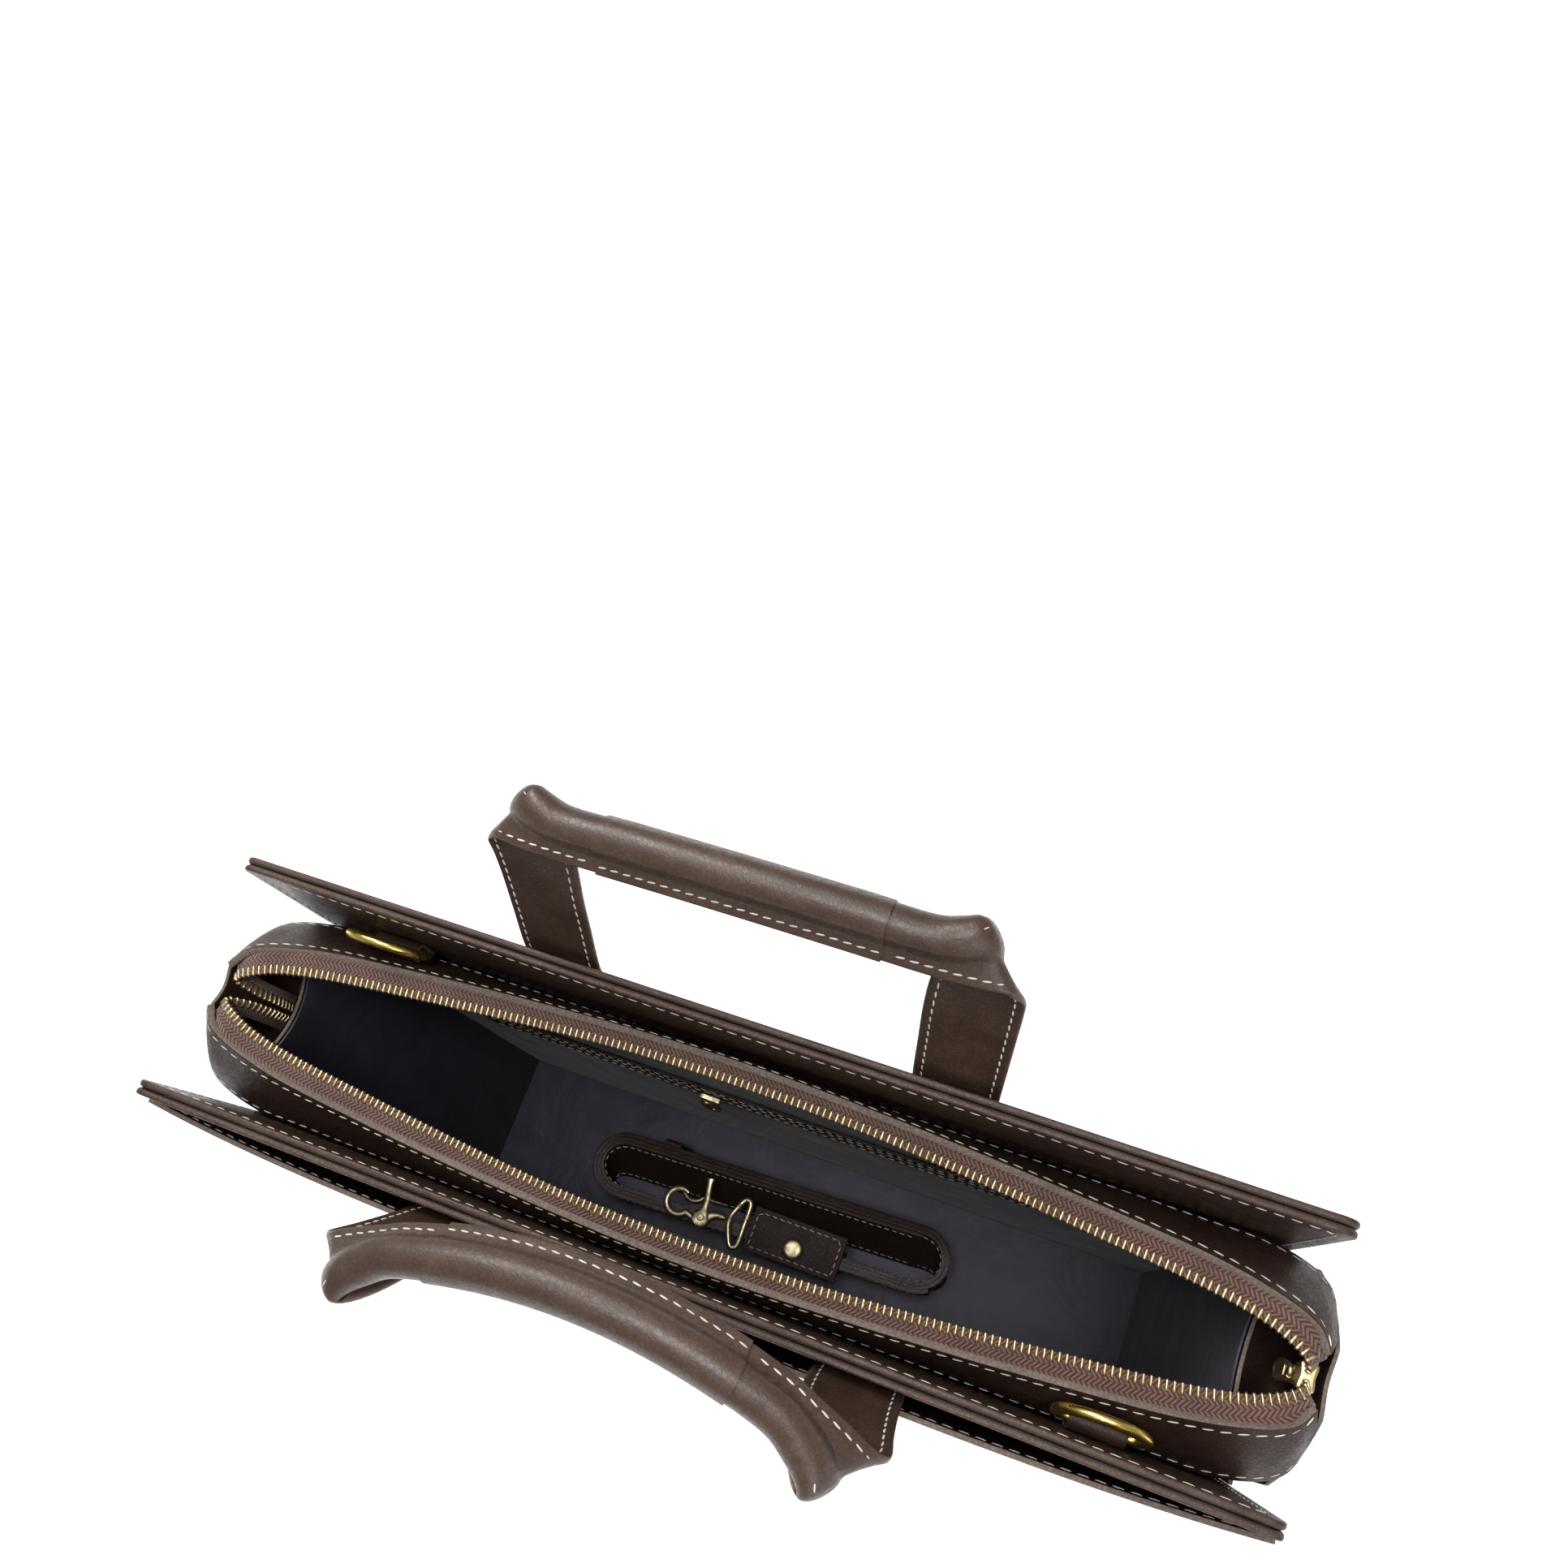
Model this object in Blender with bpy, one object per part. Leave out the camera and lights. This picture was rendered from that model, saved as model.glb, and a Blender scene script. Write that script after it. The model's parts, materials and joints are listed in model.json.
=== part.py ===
"""Leather briefcase, standing open: two stiff panels, a soft lining and a brass zip between them.

X runs along the bag, Y from its front (-Y) to its rear (+Y) and Z upwards. The origin is the middle of
the base's underside. Every soft piece is a plain closed solid.
"""

import math

import bmesh
import bpy
from mathutils import Vector

MM = 0.001

# Whole body
BODY_LENGTH = 400 * MM
BODY_HEIGHT = 300 * MM
BODY_DEPTH = 93.6 * MM
FIT = 0.3 * MM
CORNER_RADIUS = 6 * MM

# Sheets that the body is made of
LEATHER = 1.8 * MM
PANEL_BOARD = 1.2 * MM
BOARD_DROP = 8 * MM
BASE_LEATHER = 2.0 * MM
BASE_BOARD = 2.0 * MM
GUSSET_LEATHER = 1.6 * MM
GUSSET_DROP = 74 * MM
GUSSET_FOLD = 8 * MM
GUSSET_INSET = 1 * MM

# Lining: how far it stands inside the panels and their ends, and how far below the zip its rims are
LINING = 1.0 * MM
LINING_STAND_OFF = 6.9 * MM
LINING_END_INSET = 12.7 * MM
LINING_DROP = 26 * MM
RIM_DROP = 16 * MM
RIM_SHOULDER = 16 * MM
RIM_SAG = 10 * MM
RIM_INSET = 9.5 * MM
END_FACING = 1.4 * MM

# Main zip: how far it lies below the panels' top, and how far the strips stand inside the panels
ZIP_DROP = 28 * MM
CHAIN_DROP = 2 * MM
CHAIN_RADIUS = 2.0 * MM
TAPE = 0.8 * MM
TAPE_WIDTH = 5.8 * MM
STRIP = 3.0 * MM
STRIP_WIDTH = 32 * MM
STRIP_STAND_OFF = 6.4 * MM
ZIP_OVERHANG = 3.6 * MM
SLIDER_SIZE = (6 * MM, 10 * MM, 7.4 * MM)
SLIDER_DROP = 9 * MM
PULL_LENGTH = 18.5 * MM
PULL_WIDTH = 7 * MM
PULL_THICKNESS = 1.6 * MM
PULL_EYE = 1 * MM

# Front slip pocket
POCKET_DROP = 12 * MM
POCKET_SEAM = 60 * MM
POCKET_BOW = 5.5 * MM

# Zipped pocket in the rear lining
INNER_ZIP_DROP = 126 * MM
INNER_ZIP_LENGTH = 270 * MM
INNER_SLOT = 7 * MM
TRIM = 1.2 * MM
TRIM_BORDER = 10 * MM
TRIM_ABOVE = 16 * MM
TRIM_BELOW = 9.5 * MM
POUCH_DEPTH = 110 * MM
POUCH_WALL = 0.7 * MM
INNER_SLIDER_X = -32 * MM

# Shoulder strap rings
RING_INSET = 52 * MM
RING_INSIDE = 25 * MM
RING_ROD = 3.6 * MM
RING_HEIGHT = 22 * MM
RING_LEAN = math.radians(10)
RING_TAB_WIDTH = 19 * MM
RING_TAB_LEATHER = 1.4 * MM

# Handles
HANDLE_STRAP_X = 73 * MM
HANDLE_STRAP_WIDTH = 30 * MM
HANDLE_STRAP = 2.4 * MM
HANDLE_AXIS_DROP = 16 * MM
HANDLE_ANCHOR = 58 * MM
HANDLE_BEND_ROOM = 2.4 * MM
GRIP_HALF_LENGTH = 80 * MM
GRIP_RADIUS = 6.5 * MM
GRIP_BORE = 4.7 * MM
GRIP_FLANGE = 11 * MM
GRIP_FLANGE_HALF = 1.5 * MM

# Shoulder strap, coiled on the floor of the bag
COIL_LENGTH = 206 * MM
COIL_ROOM = 29 * MM
COIL_WALL = 9 * MM
COIL_HEIGHT = 34 * MM
COIL_CENTRE = (-15 * MM, -4 * MM)
COIL_TURN = math.radians(2.4)
KEEPER_LEATHER = 1.5 * MM
KEEPER_WIDTH = 10 * MM
KEEPERS = (("rear_left", -62 * MM, 1), ("front_right", 40 * MM, -1))
TAB_LENGTH = 52 * MM
TAB_WIDTH = 24 * MM
TAB_THICKNESS = 2.4 * MM
TAB_X = 6 * MM
TAB_FROM_EDGE = 7 * MM
RIVET_RADIUS = 6 * MM
RIVET_HEIGHT = 2.2 * MM

# Trigger snap hook on the shoulder strap's end
HOOK_ROD = 3.4 * MM
HOOK_EYE_RADIUS = 8.6 * MM
HOOK_EYE_X = -61 * MM
HOOK_PIVOT_X = -46 * MM
HOOK_SWIVEL_X = -33 * MM
HOOK_LEVER_LENGTH = 22 * MM
HOOK_PLATE = 4.4 * MM
HOOK_PIN_RADIUS = 1.9 * MM
HOOK_LIFT = 2.4 * MM

# Places that follow from the sizes above
OUTER_Y = BODY_DEPTH / 2
BOARD_Y = OUTER_Y - LEATHER - FIT
INNER_Y = BOARD_Y - PANEL_BOARD - FIT
PANEL_FACE_Y = INNER_Y - LEATHER
PANEL_FOOT = BASE_LEATHER + FIT
FLOOR_Z = PANEL_FOOT + BASE_BOARD + FIT
FLOOR_TOP = FLOOR_Z + LINING
HALF_LENGTH = BODY_LENGTH / 2
GUSSET_TOP = BODY_HEIGHT - GUSSET_DROP
ZIP_TOP = BODY_HEIGHT - ZIP_DROP
CHAIN_Z = ZIP_TOP - CHAIN_DROP
STRIP_FOOT = ZIP_TOP - STRIP_WIDTH
STRIP_FOOT_Y = PANEL_FACE_Y - FIT - STRIP / 2
STRIP_TOP_Y = PANEL_FACE_Y - STRIP_STAND_OFF
CHAIN_Y = STRIP_TOP_Y - TAPE_WIDTH
ZIP_HALF_LENGTH = HALF_LENGTH + ZIP_OVERHANG
SLIDER_Z = ZIP_TOP - SLIDER_DROP
LINING_WALL_Y = PANEL_FACE_Y - LINING_STAND_OFF
LINING_END_X = HALF_LENGTH - LINING_END_INSET
LINING_TOP = ZIP_TOP - LINING_DROP
RIM_TOP = ZIP_TOP - RIM_DROP
RIM_HALF_WIDTH = LINING_WALL_Y - RIM_INSET
POCKET_TOP = BODY_HEIGHT - POCKET_DROP
INNER_ZIP_Z = BODY_HEIGHT - INNER_ZIP_DROP
POUCH_THICKNESS = LINING_STAND_OFF - 3 * FIT
RING_X = HALF_LENGTH - RING_INSET
RING_Y = PANEL_FACE_Y - 2 * FIT - RING_TAB_LEATHER - FIT - RING_ROD / 2 - FIT / 3
HANDLE_Y = OUTER_Y + FIT + HANDLE_STRAP / 2
HANDLE_AXIS_Z = BODY_HEIGHT - HANDLE_AXIS_DROP
COIL_WIDTH = 2 * (LINING_WALL_Y - LINING) - COIL_ROOM
COIL_FOOT = FLOOR_TOP + 2 * FIT + KEEPER_LEATHER
COIL_TOP = COIL_FOOT + COIL_HEIGHT
TAB_Z = COIL_TOP + FIT
TAB_CENTRE = (TAB_X, COIL_CENTRE[1] - COIL_WIDTH / 2 + TAB_FROM_EDGE)
HOOK_Z = TAB_Z + TAB_THICKNESS / 2 + HOOK_LIFT


def clear_scene():
    for item in list(bpy.data.objects):
        bpy.data.objects.remove(item, do_unlink=True)


def make_material(name, colour, roughness, metallic=0.0):
    material = bpy.data.materials.new(name)
    material.use_nodes = True
    shader = material.node_tree.nodes["Principled BSDF"]
    shader.inputs["Base Color"].default_value = (*colour, 1.0)
    shader.inputs["Roughness"].default_value = roughness
    shader.inputs["Metallic"].default_value = metallic
    return material


def add_object(name, data, look, origin):
    item = bpy.data.objects.new(name, data)
    item.location = origin
    data.materials.append(make_material(name, *look))
    bpy.context.scene.collection.objects.link(item)
    return item


def finish_mesh(name, bm, look, origin=(0, 0, 0)):
    """Turns a bmesh in world coordinates into an object whose own origin is at the given point."""
    bmesh.ops.remove_doubles(bm, verts=bm.verts, dist=1e-6)
    bmesh.ops.recalc_face_normals(bm, faces=bm.faces)
    bmesh.ops.translate(bm, verts=bm.verts, vec=-Vector(origin))
    mesh = bpy.data.meshes.new(name)
    bm.to_mesh(mesh)
    bm.free()
    return add_object(name, mesh, look, origin)


def loft(name, sections, look, origin=(0, 0, 0)):
    """One closed solid through a row of sections, each a loop of points of the same number."""
    bm = bmesh.new()
    rings = [[bm.verts.new(point) for point in section] for section in sections]
    count = len(rings[0])
    for ring, following in zip(rings, rings[1:]):
        for i in range(count):
            j = (i + 1) % count
            bm.faces.new((ring[i], ring[j], following[j], following[i]))
    bm.faces.new(reversed(rings[0]))
    bm.faces.new(rings[-1])
    return finish_mesh(name, bm, look, origin)


def prism(name, outline, axis, low, high, look, origin=(0, 0, 0)):
    """A flat outline pushed along X, Y or Z. Its points are the two other coordinates, in order."""
    place = {
        "X": lambda at, p: (at, p[0], p[1]),
        "Y": lambda at, p: (p[0], at, p[1]),
        "Z": lambda at, p: (p[0], p[1], at),
    }[axis]
    sections = [[place(at, p) for p in outline] for at in (low, high)]
    return loft(name, sections, look, origin)


def block(name, low, high, look, origin=(0, 0, 0)):
    outline = [(low[0], low[1]), (high[0], low[1]), (high[0], high[1]), (low[0], high[1])]
    return prism(name, outline, "Z", low[2], high[2], look, origin)


def rod(name, points, radius, look, cyclic=False, origin=(0, 0, 0), sides=2):
    """A round rod along a row of points."""
    curve = bpy.data.curves.new(name, "CURVE")
    curve.dimensions = "3D"
    curve.bevel_depth = radius
    curve.bevel_resolution = sides
    curve.use_fill_caps = True
    spline = curve.splines.new("POLY")
    spline.points.add(len(points) - 1)
    for target, point in zip(spline.points, points):
        target.co = (*(Vector(point) - Vector(origin)), 1.0)
    spline.use_cyclic_u = cyclic
    return add_object(name, curve, look, origin)


def cut(item, name, low, high):
    """Takes a box out of a piece."""
    tool = block(name, low, high, ((0.5, 0.5, 0.5), 0.5))
    return cut_with(item, tool)


def cut_with(item, tool):
    tool.hide_render = True
    tool.display_type = "WIRE"
    modifier = item.modifiers.new(tool.name, "BOOLEAN")
    modifier.operation = "DIFFERENCE"
    modifier.object = tool
    return item


def arc(centre, radius, start, end, steps):
    """Points on an arc, between two angles in degrees."""
    turn = [math.radians(start + (end - start) * i / steps) for i in range(steps + 1)]
    return [(centre[0] + radius * math.cos(a), centre[1] + radius * math.sin(a)) for a in turn]


def rounded_rectangle(low, high, top_radius, bottom_radius=0.0):
    points = []
    corners = (
        (low[0], low[1], bottom_radius, 180),
        (high[0], low[1], bottom_radius, 270),
        (high[0], high[1], top_radius, 0),
        (low[0], high[1], top_radius, 90),
    )
    for x, y, radius, start in corners:
        if radius == 0.0:
            points.append((x, y))
            continue
        centre = (x + radius if x == low[0] else x - radius, y + radius if y == low[1] else y - radius)
        points += arc(centre, radius, start, start + 90, 4)
    return points


def smooth(points, steps):
    """A smooth curve through the given points, with the given number of steps between two of them."""
    row = [Vector(p) for p in points]
    row = [2 * row[0] - row[1], *row, 2 * row[-1] - row[-2]]
    curve = []
    for a, b, c, d in zip(row, row[1:], row[2:], row[3:]):
        for i in range(steps):
            t = i / steps
            bend = (2 * a - 5 * b + 4 * c - d) * t * t + (3 * b - a - 3 * c + d) * t**3
            curve.append(b + 0.5 * ((c - a) * t + bend))
    return [*curve, row[-2]]


def normals_beside(path):
    """The level direction that points to the left of each point of a path, seen from above."""
    sides = []
    for i in range(len(path)):
        ahead = path[min(i + 1, len(path) - 1)] - path[max(i - 1, 0)]
        sides.append(Vector((-ahead.y, ahead.x, 0)).normalized())
    return sides


def ribbon(path, thickness):
    """The outline of a sheet of even thickness that follows a level path."""
    sides = normals_beside(path)
    left = [p + s * thickness / 2 for p, s in zip(path, sides)]
    right = [p - s * thickness / 2 for p, s in zip(path, sides)]
    return left + right[::-1]


BROWN = ((0.030, 0.015, 0.010), 0.42)
EDGE = ((0.085, 0.060, 0.045), 0.60)
BOARD = ((0.120, 0.100, 0.080), 0.80)
LINING_LOOK = ((0.016, 0.016, 0.022), 0.55)
TAPE_LOOK = ((0.130, 0.055, 0.040), 0.75)
BRASS = ((0.420, 0.310, 0.130), 0.34, 1.0)
OLD_BRASS = ((0.300, 0.230, 0.120), 0.38, 1.0)
CORE_LOOK = ((0.350, 0.300, 0.220), 0.90)


def make_panels():
    """Each side is two turned leather panels with a stiffening board between them."""
    low, high = -HALF_LENGTH, HALF_LENGTH
    for side, name in ((1, "rear"), (-1, "front")):
        face = rounded_rectangle((low, PANEL_FOOT), (high, BODY_HEIGHT), CORNER_RADIUS)
        board_outline = rounded_rectangle(
            (low + BOARD_DROP, PANEL_FOOT),
            (high - BOARD_DROP, BODY_HEIGHT - BOARD_DROP),
            CORNER_RADIUS,
        )
        prism(f"{name}_outer_panel", face, "Y", side * (OUTER_Y - LEATHER), side * OUTER_Y, BROWN)
        prism(f"{name}_panel_board", board_outline, "Y", side * (BOARD_Y - PANEL_BOARD), side * BOARD_Y, BOARD)
        prism(f"{name}_inner_panel", face, "Y", side * PANEL_FACE_Y, side * INNER_Y, BROWN)


def make_base():
    outline = rounded_rectangle((-HALF_LENGTH, -OUTER_Y), (HALF_LENGTH, OUTER_Y), 4 * MM, 4 * MM)
    prism("base_leather", outline, "Z", 0, BASE_LEATHER, BROWN)
    board_x = LINING_END_X - LINING - FIT
    board_y = PANEL_FACE_Y - FIT
    low = (-board_x, -board_y, PANEL_FOOT)
    high = (board_x, board_y, PANEL_FOOT + BASE_BOARD)
    block("base_board", low, high, BOARD)


def make_gussets():
    """Each end is one leather sheet that folds a little inwards down its middle."""
    reach = PANEL_FACE_Y - FIT
    edge_x = HALF_LENGTH - GUSSET_INSET
    for side, name in ((-1, "left"), (1, "right")):
        path = []
        for i in range(13):
            y = -reach + 2 * reach * i / 12
            fold = GUSSET_FOLD * math.cos(math.pi * y / (2 * reach)) ** 2
            path.append(Vector((side * (edge_x - fold), y, 0)))
        outline = [(p.x, p.y) for p in ribbon(path, GUSSET_LEATHER)]
        prism(f"end_gusset_{name}", outline, "Z", PANEL_FOOT, GUSSET_TOP, BROWN)


def make_front_pocket():
    """A slip pocket as wide as the front, whose mouth bows outwards."""
    levels = (PANEL_FOOT, POCKET_SEAM, 0.5 * (POCKET_SEAM + POCKET_TOP), POCKET_TOP)
    sections = []
    for z in levels:
        opening = max(0.0, (z - POCKET_SEAM) / (POCKET_TOP - POCKET_SEAM))
        path = []
        for i in range(21):
            x = -HALF_LENGTH + BODY_LENGTH * i / 20
            bow = POCKET_BOW * opening * (1 - abs(x / HALF_LENGTH) ** 4)
            path.append(Vector((x, -(OUTER_Y + FIT + LEATHER / 2 + bow), z)))
        sections.append(ribbon(path, LEATHER))
    loft("front_pocket_wall", sections, BROWN)


CHAIN_LINE = ((0, 1), (45, 0.966), (90, 0.849), (130, 0.712), (165, 0.579), (185, 0.452), (196, 0.315), (201.5, 0.192))
TOP_LINE = ((0, 1), (45, 0.969), (90, 0.897), (130, 0.806), (165, 0.709), (187, 0.589), (201, 0.44), (206.5, 0.229))
FOOT_LINE = ((0, 1), (45, 1), (90, 1), (130, 1), (165, 1), (188, 0.985), (206, 0.8), (211, 0.38))
FOOT_LIFT = (0, 0, 0, 0, 0, 3 * MM, 10 * MM, 18 * MM)
LINES_HALF_LENGTH = 203.6


def zip_paths():
    """The chain's line and the strip's top and foot lines, for one half of the opening."""
    reach = ZIP_HALF_LENGTH / LINES_HALF_LENGTH
    chain = [(x * reach, CHAIN_Y * share, CHAIN_Z) for x, share in CHAIN_LINE]
    top = [(x * reach, STRIP_TOP_Y * share, ZIP_TOP) for x, share in TOP_LINE]
    foot = [
        (x * reach, STRIP_FOOT_Y * share, STRIP_FOOT + rise)
        for (x, share), rise in zip(FOOT_LINE, FOOT_LIFT)
    ]
    return chain, top, foot


def strip_slope(x):
    """How much the strip leans inwards for each unit of height, that far along the bag."""
    _, top, _ = zip_paths()
    for (x0, y0, _), (x1, y1, _) in zip(top, top[1:]):
        if x0 <= x <= x1:
            y = y0 + (y1 - y0) * (x - x0) / (x1 - x0)
            return (STRIP_FOOT_Y - y) / STRIP_WIDTH
    return (STRIP_FOOT_Y - top[-1][1]) / STRIP_WIDTH


def whole_length(half, side):
    """Mirrors a half line about the middle of the bag, and puts it on the rear (1) or the front (-1)."""
    mirrored = [(-x, y, z) for x, y, z in half[:0:-1]]
    return smooth([(x, side * y, z) for x, y, z in [*mirrored, *half]], 2)


def make_zip_strips():
    chain_half, top_half, foot_half = zip_paths()
    for side, name in ((1, "rear"), (-1, "front")):
        chain = whole_length(chain_half, side)
        top = whole_length(top_half, side)
        foot = whole_length(foot_half, side)
        half = Vector((STRIP / 2, STRIP / 2, 0))
        strip_sections = []
        tape_sections = []
        for c, t, f, cn, tn, fn in zip(
            chain, top, foot, normals_beside(chain), normals_beside(top), normals_beside(foot)
        ):
            strip_sections.append([t + tn * half, t - tn * half, f - fn * half, f + fn * half])
            inner = c + cn * side * (CHAIN_RADIUS + FIT)
            outer = t - tn * side * (STRIP / 2 + FIT)
            outer.z = c.z
            rise = Vector((0, 0, TAPE / 2))
            tape_sections.append([inner + rise, outer + rise, outer - rise, inner - rise])
        loft(f"{name}_zip_strip", strip_sections, BROWN)
        loft(f"{name}_zip_tape", tape_sections[2:-2], TAPE_LOOK)


def make_zip_chains():
    """Each half chain turns in at the left end and runs down behind the lining; the right ends meet."""
    half, _, _ = zip_paths()
    end = ZIP_HALF_LENGTH
    beside = 2.5 * MM
    for side, name in ((1, "rear"), (-1, "front")):
        middle = [(x, y, z) for x, y, z in half[:-1]]
        mirrored = [(-x, y, z) for x, y, z in middle[:0:-1]]
        left = [
            (-end + 7.6 * MM, beside, CHAIN_Z - 34 * MM),
            (-end + 7.4 * MM, beside, CHAIN_Z - 22 * MM),
            (-end + 4.0 * MM, beside + 0.4 * MM, CHAIN_Z - 11 * MM),
            (-end - 0.6 * MM, beside + 2.6 * MM, CHAIN_Z - 3 * MM),
        ]
        right = [
            (end - 1.4 * MM, beside + 2.7 * MM, CHAIN_Z - 0.4 * MM),
            (end - 0.2 * MM, beside + 0.5 * MM, CHAIN_Z - 1.7 * MM),
            (end, beside, SLIDER_Z + SLIDER_SIZE[2] / 2 + FIT),
        ]
        route = [(x, side * y, z) for x, y, z in [*left, *mirrored, *middle, *right]]
        rod(f"{name}_zip_chain", smooth(route, 2), CHAIN_RADIUS, BRASS)


def make_zip_end():
    """The slider stands at the right end over the joined chain; its pull hangs inside."""
    dx, dy, dz = (size / 2 for size in SLIDER_SIZE)
    x = ZIP_HALF_LENGTH
    outline = rounded_rectangle((-dy, SLIDER_Z - dz), (dy, SLIDER_Z + dz), 2 * MM, 3 * MM)
    prism("main_slider", outline, "X", x - dx, x + dx, BRASS)
    joined_top = SLIDER_Z - dz - FIT
    rod("joined_zip_chain", [(x, 0, joined_top), (x, 0, joined_top - 18 * MM)], CHAIN_RADIUS, BRASS)
    pull_x = x - dx - FIT - math.hypot(PULL_EYE, PULL_THICKNESS / 2)
    axis = (pull_x, 0, SLIDER_Z)
    half = PULL_WIDTH / 2
    low, high = pull_x - PULL_THICKNESS / 2, pull_x + PULL_THICKNESS / 2
    outline = rounded_rectangle((-half, SLIDER_Z - PULL_LENGTH), (half, SLIDER_Z + PULL_EYE), 0.8 * MM, 3 * MM)
    prism("main_pull", outline, "X", low, high, BRASS, axis)


def make_lining():
    end = LINING_END_X - LINING - FIT
    inside = LINING_WALL_Y - LINING
    for side, name in ((1, "rear"), (-1, "front")):
        low = (-end, min(side * inside, side * LINING_WALL_Y), FLOOR_Z)
        high = (end, max(side * inside, side * LINING_WALL_Y), LINING_TOP)
        wall = block(f"{name}_lining", low, high, LINING_LOOK)
        if side == 1:
            half = INNER_ZIP_LENGTH / 2
            reach = INNER_SLOT / 2
            low = (-half, inside - LINING, INNER_ZIP_Z - reach)
            high = (half, LINING_WALL_Y + LINING, INNER_ZIP_Z + reach)
            cut(wall, "lining_slot_tool", low, high)
    floor_y = inside - FIT
    block("lining_floor", (-end, -floor_y, FLOOR_Z), (end, floor_y, FLOOR_TOP), LINING_LOOK)
    sag = [
        (y, RIM_TOP - RIM_SAG * math.cos(math.pi * y / (2 * RIM_HALF_WIDTH)))
        for y in (RIM_HALF_WIDTH * (1 - i / 8) for i in range(17))
    ]
    foot = LINING_WALL_Y
    shoulder = LINING_TOP - RIM_SHOULDER
    outline = [(-foot, FLOOR_Z), (foot, FLOOR_Z), (foot, shoulder), *sag, (-foot, shoulder)]
    for side, name in ((-1, "left"), (1, "right")):
        inner = LINING_END_X - LINING
        prism(f"{name}_lining_end", outline, "X", side * inner, side * LINING_END_X, LINING_LOOK)
        facing = LINING_END_X + FIT
        prism(f"{name}_end_facing", outline, "X", side * facing, side * (facing + END_FACING), EDGE)


def make_inner_pocket():
    """A zipped pouch sewn on behind the rear lining, with a leather frame round its zip."""
    wall_face = LINING_WALL_Y - LINING
    half = INNER_ZIP_LENGTH / 2
    reach = INNER_SLOT / 2
    tape_back = wall_face - FIT
    tape_front = tape_back - 0.6 * MM
    trim_back = tape_front - FIT
    trim_front = trim_back - TRIM
    trim_low = (-half - TRIM_BORDER, INNER_ZIP_Z - TRIM_BELOW)
    trim_high = (half + TRIM_BORDER, INNER_ZIP_Z + TRIM_ABOVE)
    outline = rounded_rectangle(trim_low, trim_high, 3 * MM, 3 * MM)
    trim = prism("inner_pocket_trim", outline, "Y", trim_front, trim_back, BROWN)
    slot_low = (-half, trim_front - TRIM, INNER_ZIP_Z - reach)
    slot_high = (half, trim_back + TRIM, INNER_ZIP_Z + reach)
    cut(trim, "trim_slot_tool", slot_low, slot_high)
    low = (-half - 4 * MM, tape_front, INNER_ZIP_Z - 7 * MM)
    high = (half + 4 * MM, tape_back, INNER_ZIP_Z + 7 * MM)
    block("inner_zip_tape", low, high, TAPE_LOOK)
    low = (-half + 2 * MM, trim_front, INNER_ZIP_Z - 2 * MM)
    high = (half - 2 * MM, trim_back, INNER_ZIP_Z + 2 * MM)
    block("inner_zip_chain", low, high, OLD_BRASS)
    slider_back = trim_front - FIT
    slider_front = slider_back - 2.6 * MM
    at = INNER_SLIDER_X
    origin = (at, slider_back, INNER_ZIP_Z)
    outline = rounded_rectangle(
        (at - 5 * MM, INNER_ZIP_Z - 3.5 * MM), (at + 5 * MM, INNER_ZIP_Z + 3.5 * MM), 1.5 * MM, 1.5 * MM
    )
    prism("inner_slider", outline, "Y", slider_front, slider_back, OLD_BRASS, origin)
    pull_y = slider_front - FIT - 0.9 * MM
    top = INNER_ZIP_Z + 2 * MM
    loop = arc((at, top), 3.2 * MM, 0, 180, 6) + arc((at, top - 12 * MM), 4.2 * MM, 180, 360, 6)
    axis = (at, pull_y, top + 3.2 * MM)
    rod("inner_pull", [(x, pull_y, z) for x, z in loop], 0.9 * MM, OLD_BRASS, True, axis, 1)
    pouch_low = (-half - 5 * MM, LINING_WALL_Y + FIT, INNER_ZIP_Z + 9 * MM - POUCH_DEPTH)
    pouch_high = (half + 5 * MM, LINING_WALL_Y + FIT + POUCH_THICKNESS, INNER_ZIP_Z + 9 * MM)
    pouch = block("inner_pocket_pouch", pouch_low, pouch_high, LINING_LOOK)
    hollow_low = Vector(pouch_low) + Vector((POUCH_WALL, -POUCH_WALL, POUCH_WALL))
    hollow_high = Vector(pouch_high) - Vector((POUCH_WALL, POUCH_WALL, POUCH_WALL))
    cut(pouch, "pouch_hollow_tool", hollow_low, hollow_high)


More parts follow.
